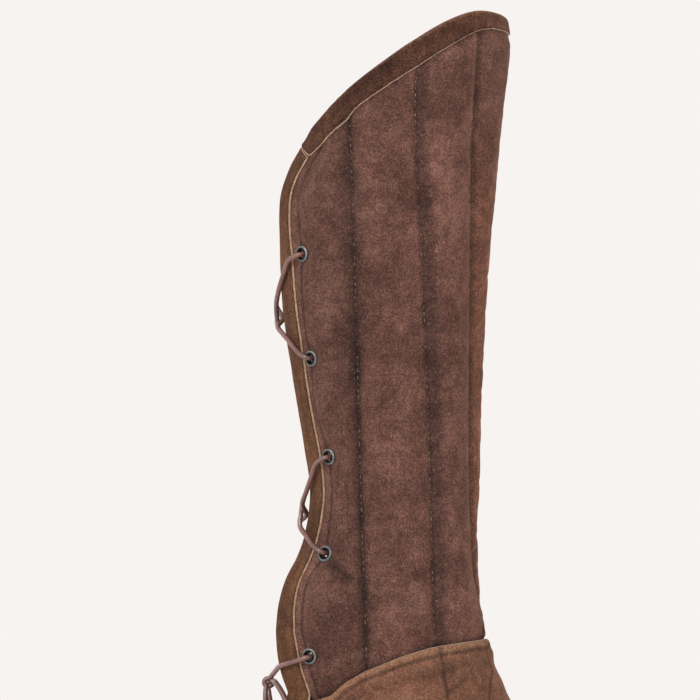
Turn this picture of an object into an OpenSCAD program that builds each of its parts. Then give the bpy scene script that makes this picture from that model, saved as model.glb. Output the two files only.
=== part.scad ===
// Padded greave: a quilted suede shell with a laced back and a lapped foot panel.
// Millimetres. Z is up, the toe points along +X, the wearer's left is +Y.

/* [Outline] */
// Highest point of the knee edge above the floor
knee_h = 494; // [470:1:520]
// Height of the top edge at the centre front
front_top_h = 488; // [470:1:500]
// Height of the top corner at the back edge
back_top_h = 406; // [385:1:425]
// Reach of the toe in front of the leg axis
toe_x = 118; // [100:1:135]
// Front of the ankle from the leg axis
ankle_front = 57; // [50:1:65]
// Front of the knee from the leg axis
knee_front = 77; // [68:1:88]
// Back edge at the calf from the leg axis
calf_back = 71.7; // [62:0.1:80]
// Back edge at the ankle from the leg axis
ankle_back = 52; // [46:0.5:58]
// Back edge at the heel bulge from the leg axis
heel_back = 74.6; // [66:0.1:82]
// Half of the width at the knee
knee_half_w = 58; // [50:1:66]
// Half of the width at the ankle
ankle_half_w = 46; // [40:1:52]
// Half of the open gap between the back edges
gap_half = 13; // [8:0.5:18]

/* [Layers] */
// Thickness of the suede
suede_t = 1.6; // [1.2:0.1:2]
// Thickness of the lining cloth
lining_t = 1; // [0.6:0.1:1.4]
// Rise of a padded channel over its seams
crown = 6; // [3:0.25:8]
// Rise of the padding on the leg side
inner_crown = 2.5; // [1:0.25:4]
// Thickness of the flat padding in the foot panel
foot_pad_t = 2; // [1.5:0.1:3]
// Rise of the foot panel's fields over their seams
foot_crown = 2.5; // [1:0.25:4]
// Clearance between layers
layer_gap = 0.2; // [0.15:0.05:0.3]
// Gap along each fold where two bodies meet
fold_gap = 1; // [0.8:0.1:1.2]

/* [Edges] */
// Thickness of the binding strips
bind_t = 1.4; // [1:0.1:1.8]
// Width of the binding on the top and back edges
bind_w = 15.5; // [12:0.5:18]
// Height of the binding on the hem
hem_w = 12; // [10:0.5:14]
// How far the foot panel laps over the shin panel
lap = 12; // [8:1:16]

/* [Eyelets] */
// Height of the lowest eyelet
eyelet_low = 74.5; // [70:0.5:80]
// Height of the highest eyelet
eyelet_top = 335.3; // [320:0.1:350]
// Distance from the back edge to the eyelet centres
eyelet_in = 24.5; // [23:0.5:27]
// Inner radius of an eyelet
eyelet_r = 3.2; // [2.8:0.1:3.4]
// Outer radius of an eyelet's flange
flange_r = 5.2; // [5:0.1:6]
// Wall of an eyelet's barrel
barrel_t = 0.5; // [0.4:0.1:0.7]
// Diameter of the leather lace
lace_d = 3; // [2.5:0.1:3.4]

/* [Hidden] */
$fn = 48;

// Side view of the leg: height against distance from the leg axis
front_line = [
    [0, toe_x], [22, toe_x - 23], [46, 76.5], [58, 71], [65, 66.8], [72, ankle_front + 6.3], [85, ankle_front + 4.3],
    [97, ankle_front + 5.2], [110, ankle_front + 3.4], [155, ankle_front], [180, ankle_front + 1.6],
    [213, ankle_front + 2], [286, ankle_front + 4.4],
    [345, 65.7], [398, 70.5], [442, knee_front - 2.6], [480, knee_front], [500, knee_front - 2]
];
back_line = [
    [0, 30 - heel_back], [20, 19 - heel_back], [46, 9.5 - heel_back], [66, 2.6 - heel_back],
    [86, -heel_back], [100, 0.6 - heel_back], [112, 2.6 - heel_back], [124, 6.4 - heel_back],
    [140, -8 - ankle_back], [155, -3.2 - ankle_back], [180, -ankle_back], [207, -3.3 - ankle_back],
    [254, -11 - ankle_back], [300, 2 - calf_back], [346, -calf_back], [372, 0.4 - calf_back],
    [391, 6.4 - calf_back], [back_top_h, 14.3 - calf_back],
    [back_top_h + 14, 18.2 - calf_back], [437, 21.2 - calf_back], [500, 26.7 - calf_back]
];
width_line = [
    [0, ankle_half_w + 1], [60, ankle_half_w], [100, ankle_half_w], [180, ankle_half_w + 1],
    [250, ankle_half_w + 5], [330, knee_half_w - 3], [410, knee_half_w], [500, knee_half_w + 1]
];
gap_line = [[0, gap_half + 1], [90, gap_half + 2], [190, gap_half - 1], [340, gap_half], [420, gap_half + 2]];

// Seams of the quilting, front to back: height against distance from the leg axis
seam_c_line = [[60, 70], [105, 57], [117, 54.4], [130, 52], [167, 49.6], [240, 49.2], [320, 49.8], [400, 50.8], [475, 55]];
seam_b_line = [[0, 41], [25, 39], [49, 35.8], [68, 31.5], [90, 28], [160, 25.8], [210, 24.5], [307, 20.8], [360, 18.5], [410, 16], [475, 17]];
seam_a_low = -16;
seam_a_lean = -0.0285;

// Distance from the leg axis at which the toe part is split from the sides, and its least half angle at the top
toe_split_x = 61.5;
toe_split_turn = 14;

// Top edge and foot panel edge, by seam number: 0 centre front, 1 C, 2 B, 3 A, 4 eyelet strip, 5 back edge
top_edge = [
    [0, front_top_h], [0.5, knee_h - 1.7], [1, knee_h - 1.1], [1.5, knee_h - 6.6], [2, 475.6], [2.5, 460], [3, 442.5],
    [3.5, 439], [4, back_top_h + 29.6], [4.3, back_top_h + 24.4], [4.55, back_top_h + 19.2], [4.78, back_top_h + 13.5], [5, back_top_h]
];
foot_edge = [[0, 85], [1, 85], [2, 81], [2.5, 75], [3, 65.5], [3.5, 57.5], [4, 49], [5, 40]];

// Share of the binding's width that shows on the top edge, by the same numbers
top_share = [[0, 0.72], [0.5, 0.78], [1, 0.9], [1.5, 1.08], [2, 1.12], [2.5, 1.04], [3, 0.9], [3.5, 0.9], [4, 1], [5, 1]];

// What the back binding and the eyelet strip gain in width over their least, by height
bind_more = [[0, 3], [46, 6], [74, 5.5], [100, 2.5], [125, 1.2], [165, 2.3], [203, 4], [235, 3.2], [285, 4], [335, 2], [360, 0.5], [400, 0.5]];
strip_more = [[0, 6], [60, 6.5], [74.5, 7], [141, 3.7], [204, 2.7], [268, 1.8], [335, 2.9], [400, 3]];

// Eyelet heights, spaced as on the object
eyelet_span = eyelet_top - eyelet_low;
eyelet_z = [for (k = [0, 0.2546, 0.4958, 0.7400, 1]) eyelet_low + k * eyelet_span];

// Half of the lace, from the middle of the top bar through the eyelets to the knot, from the leg axis.
// It starts on the left side, and crosses behind the back edges at each point with y = 0.
lace_half = [
    [-63.5, 11, 335.5], [-58, 23, 335.5], [-53, 29.5, 335.5], [-59.5, 36.5, 334.5], [-66, 31.3, 331],
    [-69.3, 24.7, 322.5], [-72.5, 18.2, 312], [-74, 9, 302], [-69.8, 0, 293.5], [-73, -9, 288],
    [-69.6, -17, 283], [-65, -24, 277.5], [-60, -30.5, 271.5], [-54, -36.5, 267.5], [-46, -29.7, 266.8],
    [-45.5, -30, 257], [-42.5, -30.5, 236], [-37.7, -29.6, 214], [-35.2, -28.2, 204.5], [-42.2, -36.4, 203.5],
    [-48, -31, 199.5], [-51.4, -24.6, 191], [-54.8, -18, 181], [-57.2, -9.2, 173], [-54.3, 0, 166],
    [-59, 9.6, 161], [-58.4, 19, 156.5], [-54.6, 25.7, 151], [-51, 32, 145.5], [-45.5, 36.5, 141.5],
    [-39.2, 28, 139.2], [-43.9, 29.4, 129], [-50.1, 29.4, 107], [-50, 29.4, 86], [-49.2, 28.7, 75.5],
    [-55, 37.5, 74], [-60.5, 34.5, 72], [-67, 28.5, 70], [-72, 21.5, 68], [-76, 12, 63], [-78.4, 7, 59.8]
];
// Places in this list at which the lace passes through an eyelet, from the top eyelet down
lace_holes = [2.5, 13.5, 18.5, 29.5, 34.5];
lace_top = [-65, 0, 335.5];
cross_lift = 3.6;
knot = [-79, 0, 57];
knot_r = 2.6;
bow_loop = [
    [-77.5, 5.3, 56.2], [-76, 12, 58.2], [-73, 22, 55], [-68.5, 30, 47], [-65, 35, 37], [-64.5, 36, 28],
    [-67, 32, 22], [-71.5, 25, 25], [-76, 15, 38], [-78.5, 7, 49], [-79, 5.3, 54]
];
bow_tail = [[-80.5, 5.3, 56.5], [-81, 8, 48], [-81, 10, 34], [-80.5, 12, 20], [-80, 13, 7]];

// Derived layer positions, measured outwards from the stitched surface
half_seam = layer_gap / 2;
edge_in = bind_t + layer_gap;
strip_w = eyelet_in + flange_r + 1.5;
lap_keep = 0.3;
bind_gap = 0.45;
lap_base = half_seam + suede_t + lap_keep * crown + 0.5;
front_pad = 2 + suede_t;
back_pad = suede_t + bind_t / 2;

// Numbers of segments across the five fields of the quilting
field_n = [4, 5, 5, 5, 4];
// Rise of each field as a share of the crown
field_rise = [0.6, 0.9, 1, 1, 0];
strip_s = [0, (strip_w - eyelet_in) / (strip_w - edge_in), 0.55, 0.78, 1];

// Smooth curve through the points of a table
function place(t, x, i = 0) = (i >= len(t) - 2 || x < t[i + 1][0]) ? i : place(t, x, i + 1);
function grade(t, a, b) = (t[b][1] - t[a][1]) / (t[b][0] - t[a][0]);
function tangent(t, i) = grade(t, max(i - 1, 0), min(i + 1, len(t) - 1));
function smooth(t, x) =
    let (i = place(t, x), h = t[i + 1][0] - t[i][0], k = min(1, max(0, (x - t[i][0]) / h)), k2 = k * k, k3 = k2 * k)
    (2 * k3 - 3 * k2 + 1) * t[i][1] + (k3 - 2 * k2 + k) * h * tangent(t, i)
    + (3 * k2 - 2 * k3) * t[i + 1][1] + (k3 - k2) * h * tangent(t, i + 1);
function ease(x) = let (k = min(1, max(0, x))) k * k * (3 - 2 * k);

// Section of the stitched surface at height z: centre, half depth, half width, angle of the back edge
function section(z) =
    let (f = smooth(front_line, z) - front_pad, r = smooth(back_line, z) + back_pad, w = smooth(width_line, z))
    let (g = smooth(gap_line, z), c = sqrt(1 - g * g / (w * w)), a = (f - r) / (1 + c))
    [f - a, a, w, 180 - asin(g / w)];
function on(s, z, th, off) =
    let (n = [cos(th) / s[1], sin(th) / s[2]], u = n / norm(n))
    [s[0] + s[1] * cos(th) + off * u[0], s[2] * sin(th) + off * u[1], z];
function mm_per_degree(s, th) = norm([s[1] * sin(th), s[2] * cos(th)]) * PI / 180;
function from_edge(s, d) = s[3] - d / mm_per_degree(s, s[3] - 0.5 * d / mm_per_degree(s, s[3]));
function at_x(s, x) = acos(max(-0.97, min(0.9962, (x - s[0]) / s[1])));

// Angle of seam k at height z, on the shin or on the foot panel
function seam_a_x(z) = seam_a_low + seam_a_lean * (z - 100);
function seam(foot, k, z, s) =
    k == 0 ? 0 :
    k == 1 ? (foot ? max(toe_split_turn, at_x(s, toe_split_x)) : at_x(s, smooth(seam_c_line, z))) :
    k == 2 ? at_x(s, smooth(seam_b_line, z)) :
    k == 3 ? at_x(s, seam_a_x(z)) :
    k == 4 ? let (a = at_x(s, seam_a_x(z)), e = from_edge(s, edge_in)) max(a + 0.3 * (e - a), from_edge(s, strip_w + smooth(strip_more, z))) :
    from_edge(s, edge_in);
function is_fold(foot, k) = k == 0 || k == 3 || (foot && k == 1);
function fold_turn(s, th, k) = (k == 0 ? layer_gap : fold_gap) / 2 / mm_per_degree(s, th);
function angle(foot, k, f, z, s) =
    let (a = seam(foot, k, z, s), b = seam(foot, k + 1, z, s))
    let (a2 = is_fold(foot, k) ? a + fold_turn(s, a, k) : a, b2 = is_fold(foot, k + 1) ? b - fold_turn(s, b, k + 1) : b)
    a2 + f * (b2 - a2);

// Places of the grid lines across field k, from 0 to 1
function across(k) = k == 4 ? strip_s : [for (i = [0:field_n[k]]) (1 - cos(180 * i / field_n[k])) / 2];
function fields(a, b) = [for (k = [a:b]) let (c = across(k)) for (i = [(k == a ? 0 : 1):len(c) - 1]) [k, c[i]]];
function bulge(k, f) = k == 4 ? 0 : 2 * sqrt(max(0, f * (1 - f)));

// Depth of the top binding measured straight down, from the slope of the top edge
function top_z(k, f) = smooth(top_edge, k + f);
function top_slope(k, f) =
    let (u = k + f, a = max(0, u - 0.15), b = min(5, u + 0.15), ka = min(4, floor(a)), kb = min(4, floor(b)))
    let (z = smooth(top_edge, u), s = section(z))
    let (w = abs(angle(false, kb, b - kb, z, s) - angle(false, ka, a - ka, z, s)) * mm_per_degree(s, angle(false, k, f, z, s)))
    (smooth(top_edge, b) - smooth(top_edge, a)) / w;
function top_depth(k, f) = bind_w * smooth(top_share, k + f) * sqrt(1 + min(0.8, pow(top_slope(k, f), 2)));

// Heights of the grid rows in one column
function edge_z(k, f) = smooth(foot_edge, k + f);
mid_rows = [
    107.7, eyelet_z[1], (eyelet_z[1] + eyelet_z[2]) / 2, eyelet_z[2], (eyelet_z[2] + eyelet_z[3]) / 2,
    eyelet_z[3], (eyelet_z[3] + eyelet_z[4]) / 2, eyelet_z[4]
];
// Rows of the eyelet strip between the top eyelet and the top binding, which the back binding shares
strip_rows = let (z = eyelet_top, h = back_top_h - edge_in - eyelet_top) [for (q = [0.24, 0.48, 0.69, 0.86]) z + q * h];
function shin_rows(k, f) =
    let (ze = edge_z(k, f), zt = top_z(k, f) - edge_in, d = top_depth(k, f) - edge_in)
    let (q = min(1, (zt - eyelet_top - d - 6) / 34), za = zt - d - 24 * q)
    concat(
        [ze - lap, ze, k < 3 ? (ze + 107.7) / 2 : eyelet_low], mid_rows,
        k < 4 ? [(eyelet_top + za) / 2, za, zt - d - 17 * q, zt - d - 9 * q, zt - d, zt - d / 2, zt]
            : let (zr = max(zt - d, 0.7 * strip_rows[3] + 0.3 * zt)) concat(strip_rows, [zr, (zr + zt) / 2, zt])
    );
function foot_rows(k, f) =
    let (ze = edge_z(k, f), zl = ze - lap - 14)
    [edge_in, hem_w, (hem_w + zl) / 2, zl, ze - lap - 0.6, ze - 6, ze];

// Outward position of each face of the shin's layers
function shin_rise(k, f, z) =
    let (zt = top_z(k, f), d = top_depth(k, f), w = field_w(k, z))
    bulge(k, f) * field_rise[k] * min(1, w / 30) * ease((zt - d - z) / 34) * (lap_keep + (1 - lap_keep) * ease((z - edge_z(k, f)) / 25));
function field_w(k, z) = let (s = section(z), a = seam(false, k, z, s), b = seam(false, k + 1, z, s)) (b - a) * mm_per_degree(s, (a + b) / 2);
function shin_off(face, k, f, z) =
    let (c = shin_rise(k, f, z))
    face == "out" ? half_seam + suede_t + crown * c :
    face == "under" ? half_seam + crown * c :
    face == "pad_out" ? half_seam + crown * c - layer_gap :
    face == "pad_in" ? layer_gap - half_seam - inner_crown * c :
    face == "lining" ? -half_seam - inner_crown * c :
    -half_seam - lining_t - inner_crown * c;

// Outward position of each face of the foot panel's layers, which step out over the shin panel in the lap
function foot_off(face, k, f, z) =
    let (m = ease((edge_z(k, f) - lap - 0.6 - z) / 13.4), c = bulge(k, f) * ease((z - hem_w) / 12))
    let (pad = foot_pad_t * (k == 4 ? 0 : k == 3 ? 1 - f * f : 1), lo = m * (-half_seam - lining_t) + (1 - m) * lap_base)
    let (hi = m * (half_seam + pad + foot_crown * c) + (1 - m) * (lap_base + lining_t + layer_gap))
    face == "out" ? hi + suede_t :
    face == "under" ? hi :
    face == "pad_out" ? hi - layer_gap :
    face == "pad_in" ? lo + lining_t + layer_gap :
    face == "lining" ? lo + lining_t :
    lo;
function off(foot, face, k, f, z) = foot ? foot_off(face, k, f, z) : shin_off(face, k, f, z);

function grid(foot, cols, rows, face) = [
    for (c = cols) [for (z = rows[search_col(cols, c)]) let (s = section(z)) on(s, z, angle(foot, c[0], c[1], z, s), off(foot, face, c[0], c[1], z))]
];
function search_col(cols, c) = [for (i = [0:len(cols) - 1]) if (cols[i] == c) i][0];

// Closed solid between two grids of points
module slab(outer, inner) {
    n = len(outer);
    m = len(outer[0]);
    points = concat([for (c = outer) for (p = c) p], [for (c = inner) for (p = c) p]);
    function id(side, i, j) = side * n * m + i * m + j;
    function flat(side, i, j) = side == 0
        ? [[id(0, i, j), id(0, i + 1, j), id(0, i + 1, j + 1)], [id(0, i, j), id(0, i + 1, j + 1), id(0, i, j + 1)]]
        : [[id(1, i, j), id(1, i + 1, j + 1), id(1, i + 1, j)], [id(1, i, j), id(1, i, j + 1), id(1, i + 1, j + 1)]];
    function wall(a, b) = [[a[0], a[1], b[1]], [a[0], b[1], b[0]]];
    faces = concat(
        [for (side = [0, 1]) for (i = [0:n - 2]) for (j = [0:m - 2]) each flat(side, i, j)],
        [for (i = [0:n - 2]) each wall([id(0, i + 1, 0), id(0, i, 0)], [id(1, i + 1, 0), id(1, i, 0)])],
        [for (i = [0:n - 2]) each wall([id(0, i, m - 1), id(0, i + 1, m - 1)], [id(1, i, m - 1), id(1, i + 1, m - 1)])],
        [for (j = [0:m - 2]) each wall([id(0, 0, j), id(0, 0, j + 1)], [id(1, 0, j), id(1, 0, j + 1)])],
        [for (j = [0:m - 2]) each wall([id(0, n - 1, j + 1), id(0, n - 1, j)], [id(1, n - 1, j + 1), id(1, n - 1, j)])]
    );
    polyhedron(points, faces);
}

// One layer of the shell over fields a to b, of the shin or of the foot panel
module layer(foot, a, b, outer_face, inner_face) {
    cols = fields(a, b);
    rows = [for (c = cols) foot ? foot_rows(c[0], c[1]) : shin_rows(c[0], c[1])];
    slab(grid(foot, cols, rows, outer_face), grid(foot, cols, rows, inner_face));
}

// Wadding of one field or sheet, kept inside the seams
module wadding(foot, a, b) {
    all = fields(a, b);
    cols = foot
        ? [for (i = [(a == 3 ? 1 : 0):len(all) - (b == 3 ? 3 : 1)]) all[i]]
        : [for (i = [1:len(all) - 2]) all[i]];
    rows = [
        for (c = cols) let (r = foot ? foot_rows(c[0], c[1]) : shin_rows(c[0], c[1]), last = foot ? 3 : len(r) - 5)
        [for (j = [1:last]) r[j]]
    ];
    slab(grid(foot, cols, rows, "pad_out"), grid(foot, cols, rows, "pad_in"));
}

// Strip swept from section to section; every section is one closed ring of points
module sweep(rings) {
    n = len(rings);
    m = len(rings[0]);
    points = [for (r = rings) for (p = r) p];
    faces = concat(
        [for (i = [0:n - 2]) for (j = [0:m - 1]) let (k = (j + 1) % m) each [
            [i * m + j, (i + 1) * m + j, (i + 1) * m + k], [i * m + j, (i + 1) * m + k, i * m + k]]],
        u_caps(0, m, false), u_caps((n - 1) * m, m, true)
    );
    polyhedron(points, faces);
}
// End faces of a folded strip, whose ring runs out along one face and back along the other
function u_caps(base, m, last) = [
    for (i = [0:m / 2 - 2]) let (q = [base + i, base + i + 1, base + m - 2 - i, base + m - 1 - i])
    each (last ? [[q[0], q[2], q[1]], [q[0], q[3], q[2]]] : [[q[0], q[1], q[2]], [q[0], q[2], q[3]]])
];

// Folded binding along the top edge, over fields a to b, mitred where it meets the back binding
module top_binding(a, b) {
    cols = fields(a, b);
    sweep([for (c = cols) let (
        k = c[0], f = c[1], zt = top_z(k, f), zi = zt - bind_t,
        d = top_depth(k, f) * (k == 4 ? max(0.12, min(1, (1 - f) * (strip_w - edge_in) / bind_w)) : 1),
        zr = zt - max(d, bind_t + 0.6), s = section(zt), sr = section(zr), si = section(zi),
        o = half_seam + suede_t + bind_gap, i = -half_seam - lining_t - bind_gap,
        t = angle(false, k, f, zt, s), tr = angle(false, k, f, zr, sr), ti = angle(false, k, f, zi, si)
    ) [
        on(sr, zr, tr, o + bind_t), on(s, zt, t, o + bind_t), on(s, zt, t, i - bind_t), on(sr, zr, tr, i - bind_t),
        on(sr, zr, tr, i), on(si, zi, ti, i), on(si, zi, ti, o), on(sr, zr, tr, o)
    ]]);
}

// Folded binding along the hem, over fields a to b of the foot panel
module hem_binding(a, b) {
    cols = [for (c = fields(a, b)) if (c[0] < 4 || c[1] < 0.5) c];
    sweep([for (c = cols) let (
        k = c[0], f = c[1], s0 = section(0), s1 = section(bind_t), s2 = section(hem_w),
        t0 = angle(true, k, f, 0, s0), t1 = angle(true, k, f, bind_t, s1), t2 = angle(true, k, f, hem_w, s2),
        o1 = foot_off("out", k, f, edge_in) + layer_gap, o2 = foot_off("out", k, f, hem_w) + layer_gap,
        i1 = foot_off("inside", k, f, edge_in) - layer_gap, i2 = foot_off("inside", k, f, hem_w) - layer_gap
    ) [
        on(s2, hem_w, t2, o2 + bind_t), on(s0, 0, t0, o1 + bind_t), on(s0, 0, t0, i1 - bind_t), on(s2, hem_w, t2, i2 - bind_t),
        on(s2, hem_w, t2, i2), on(s1, bind_t, t1, i1), on(s1, bind_t, t1, o1), on(s2, hem_w, t2, o2)
    ]]);
}

// Folded binding down the back edge, over the shin panel and then over the foot panel
mitre_top = 3.6;
back_mid = [for (i = [1:2]) strip_s[i + 1]];
lap_top = foot_edge[7][1] + 6;
function back_out(z) = z > lap_top ? half_seam + suede_t : foot_off("out", 4, 1, z);
module back_binding() {
    ze = edge_z(4, 1);
    top = top_z(4, 1);
    rows = concat(
        [0, edge_in, hem_w, ze - lap - 14, ze - lap - 0.6, ze - 6, ze, lap_top, lap_top + 3, eyelet_low], mid_rows,
        strip_rows, [top - mitre_top]
    );
    sweep([for (z = rows) let (
        s = section(z), w = (bind_w + smooth(bind_more, z)) * min(1, 0.4 + (top - mitre_top - z) / bind_w * 2),
        o = back_out(z) + bind_gap, i = -half_seam - lining_t - bind_gap,
        d = [w, w * 0.5, bind_t, 0], th = [for (e = d) from_edge(s, e)]
    ) [
        on(s, z, th[0], o + bind_t), on(s, z, th[1], o + bind_t), on(s, z, th[3], o + bind_t),
        on(s, z, th[3], i - bind_t), on(s, z, th[1], i - bind_t), on(s, z, th[0], i - bind_t),
        on(s, z, th[0], i), on(s, z, th[1], i), on(s, z, th[2], i),
        on(s, z, th[2], o), on(s, z, th[1], o), on(s, z, th[0], o)
    ]]);
}

// Eyelets: where each one sits, and which way it faces
function eyelet_at(z) = let (s = section(z)) on(s, z, angle(false, 4, strip_s[1], z, s), half_seam + suede_t);
function eyelet_dir(z) =
    let (s = section(z), th = angle(false, 4, strip_s[1], z, s), p = on(s, z, th, 0), q = on(s, z, th, 1), up = eyelet_at(z + 4) - eyelet_at(z - 4))
    let (n = q - p, u = up / norm(up), v = n - u * (n * u)) v / norm(v);
module face_out(z) {
    n = eyelet_dir(z);
    translate(eyelet_at(z)) rotate([0, acos(n[2]), atan2(n[1], n[0])]) children();
}
stack_t = suede_t + lining_t + layer_gap;
washer_t = 0.6;
washer_seat = stack_t + 0.75;
module eyelet() {
    barrel_r = eyelet_r + barrel_t;
    lip_z = -washer_seat - washer_t - 0.1;
    rotate_extrude() polygon([
        [eyelet_r, lip_z - 0.5], [barrel_r + 0.7, lip_z - 0.5], [barrel_r + 0.7, lip_z], [barrel_r, lip_z],
        [barrel_r, 0.5], [flange_r, 0.5], [flange_r, 0.8], [flange_r - 0.7, 1.4], [eyelet_r + 0.6, 1.4], [eyelet_r, 0.9]
    ]);
}
module washer() {
    translate([0, 0, -washer_seat - washer_t]) difference() {
        cylinder(r = flange_r, h = washer_t);
        translate([0, 0, -1]) cylinder(r = eyelet_r + barrel_t + 0.15, h = washer_t + 2);
    }
}
module eyelet_holes() {
    for (z = eyelet_z) face_out(z) translate([0, 0, -washer_seat - 2]) cylinder(r = eyelet_r + barrel_t + 0.25, h = washer_seat + 5);
}

// Round tube along a route, with one ring of eight points at each point of the route
function ahead(p, i) = let (a = p[min(i + 1, len(p) - 1)] - p[max(i - 1, 0)]) a / norm(a);
function square(t, u) = let (v = u - t * (t * u)) v / norm(v);
function carry(p, i, u) = i == len(p) ? [] : let (t = ahead(p, i), v = square(t, u)) concat([v], carry(p, i + 1, v));
module tube(p, d) {
    sides = 8;
    n = len(p);
    side_dirs = carry(p, 0, [0.31, 0.27, 0.91]);
    points = [
        for (i = [0:n - 1]) let (t = ahead(p, i), v = side_dirs[i], w = cross(t, v))
        for (k = [0:sides - 1]) let (a = 360 * k / sides) p[i] + d / 2 * (v * cos(a) + w * sin(a))
    ];
    polyhedron(points, concat(
        [for (i = [0:n - 2]) for (k = [0:sides - 1]) let (a = i * sides + k, b = i * sides + (k + 1) % sides) each [
            [a, a + sides, b + sides], [a, b + sides, b]]],
        [for (k = [1:sides - 2]) [0, k, k + 1]],
        [for (k = [1:sides - 2]) let (e = (n - 1) * sides) [e, e + k + 1, e + k]]
    ));
}

// The lace's points move with the eyelets: each end of a run by its own eyelet's shift, and least where y is 0
function hole_mid(k) = let (p = lace_half[floor(lace_holes[k])], q = lace_half[ceil(lace_holes[k])]) (p + q) / 2;
function hole_shift(k) =
    let (z = eyelet_z[4 - k], s = section(z), m = hole_mid(k), e = on(s, z, angle(false, 4, strip_s[1], z, s), 0))
    [e[0] - m[0], e[1] - abs(m[1]), e[2] - m[2]];
function hole_before(i) = max([0, for (k = [0:3]) if (i > lace_holes[k]) k]);
function lace_shift(i) =
    let (k = hole_before(i), t = min(1, max(0, (i - lace_holes[k]) / (lace_holes[k + 1] - lace_holes[k]))))
    (1 - t) * hole_shift(k) + t * hole_shift(k + 1);
lace_side = [
    for (i = [0:len(lace_half) - 1]) let (p = lace_half[i], d = lace_shift(i) * min(1, abs(p[1]) / 28))
    p + [d[0], sign(p[1]) * d[1], d[2]]
];
function flip_y(p, lift) = [for (q = p) [q[0] - (q[1] == 0 ? lift : 0), -q[1], q[2]]];
function reversed(p) = [for (i = [len(p) - 1:-1:0]) p[i]];
module lace() {
    color([0.42, 0.28, 0.26]) tube(concat(reversed(lace_side), [lace_top], flip_y(lace_side, cross_lift)), lace_d);
}
module lace_bow() {
    color([0.42, 0.28, 0.26]) {
        translate(knot) rotate([90, 0, 0]) for (k = [-1:1]) translate([0, 0, k * lace_d]) {
            rotate_extrude() translate([knot_r, 0]) circle(d = lace_d + 0.2);
            cylinder(r = knot_r, h = lace_d, center = true);
        }
        for (p = [bow_loop, bow_tail, flip_y(bow_loop, 0), flip_y(bow_tail, 0)]) tube(p, lace_d);
    }
}

// The row's origin is under the middle of the whole object
toe_out = toe_x - front_pad + half_seam + foot_pad_t + suede_t + layer_gap + bind_t;
back_out = knot_r + lace_d / 2 + 0.1 - knot[0];
leg_axis_x = (back_out - toe_out) / 2;
module centred() { translate([leg_axis_x, 0, 0]) children(); }

module outer() { color([0.42, 0.28, 0.24]) layer(false, 0, 2, "out", "under"); }
module lining() { color([0.72, 0.64, 0.52]) layer(false, 0, 2, "lining", "inside"); }
module wing_outer() { color([0.40, 0.26, 0.22]) difference() { layer(false, 3, 4, "out", "under"); eyelet_holes(); } }
module wing_lining() { color([0.70, 0.62, 0.50]) difference() { layer(false, 3, 4, "lining", "inside"); eyelet_holes(); } }
module pad(foot, a, b) { color([0.92, 0.90, 0.84]) wadding(foot, a, b); }
module foot_part(a, b) { color([0.52, 0.37, 0.30]) layer(true, a, b, "out", "under"); }
module foot_lining_part(a, b) { color([0.72, 0.64, 0.52]) layer(true, a, b, "lining", "inside"); }
module top_strip(a, b) { color([0.40, 0.29, 0.20]) top_binding(a, b); }
module hem_strip(a, b) { color([0.42, 0.30, 0.21]) hem_binding(a, b); }
module back_strip() { color([0.43, 0.31, 0.21]) back_binding(); }
module eyelets() { color([0.5, 0.51, 0.5]) for (z = eyelet_z) face_out(z) eyelet(); }
module washers() { color([0.55, 0.55, 0.54]) for (z = eyelet_z) face_out(z) washer(); }
module left() { centred() children(); }
module right() { centred() mirror([0, 1, 0]) children(); }

left() outer();  // outer_left
right() outer();  // outer_right
left() lining();  // lining_left
right() lining();  // lining_right
left() pad(false, 0, 0);  // wadding_shin_left
right() pad(false, 0, 0);  // wadding_shin_right
left() pad(false, 1, 1);  // wadding_front_left
right() pad(false, 1, 1);  // wadding_front_right
left() pad(false, 2, 2);  // wadding_side_left
right() pad(false, 2, 2);  // wadding_side_right
left() top_strip(0, 2);  // binding_top_left
right() top_strip(0, 2);  // binding_top_right
left() foot_part(1, 2);  // foot_outer_left
right() foot_part(1, 2);  // foot_outer_right
left() foot_lining_part(1, 2);  // foot_lining_left
right() foot_lining_part(1, 2);  // foot_lining_right
left() pad(true, 1, 2);  // foot_wadding_left
right() pad(true, 1, 2);  // foot_wadding_right
left() hem_strip(1, 2);  // hem_left
right() hem_strip(1, 2);  // hem_right
left() foot_part(0, 0);  // toe_outer_left
right() foot_part(0, 0);  // toe_outer_right
left() foot_lining_part(0, 0);  // toe_lining_left
right() foot_lining_part(0, 0);  // toe_lining_right
left() pad(true, 0, 0);  // toe_wadding_left
right() pad(true, 0, 0);  // toe_wadding_right
left() hem_strip(0, 0);  // toe_hem_left
right() hem_strip(0, 0);  // toe_hem_right
left() wing_outer();  // wing_outer_left
right() wing_outer();  // wing_outer_right
left() wing_lining();  // wing_lining_left
right() wing_lining();  // wing_lining_right
left() pad(false, 3, 3);  // wing_wadding_left
right() pad(false, 3, 3);  // wing_wadding_right
left() top_strip(3, 4);  // wing_binding_top_left
right() top_strip(3, 4);  // wing_binding_top_right
left() back_strip();  // binding_back_left
right() back_strip();  // binding_back_right
left() foot_part(3, 4);  // heel_outer_left
right() foot_part(3, 4);  // heel_outer_right
left() foot_lining_part(3, 4);  // heel_lining_left
right() foot_lining_part(3, 4);  // heel_lining_right
left() pad(true, 3, 3);  // heel_wadding_left
right() pad(true, 3, 3);  // heel_wadding_right
left() hem_strip(3, 4);  // heel_hem_left
right() hem_strip(3, 4);  // heel_hem_right
left() eyelets();  // eyelets_left
right() eyelets();  // eyelets_right
left() washers();  // washers_left
right() washers();  // washers_right
centred() lace();
centred() lace_bow();
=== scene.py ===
"""Looks of the padded greave: quilted suede shells, bindings, foot panel, stitches, lace and studio."""

import math

import bpy
import numpy as np
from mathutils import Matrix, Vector, noise


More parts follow.
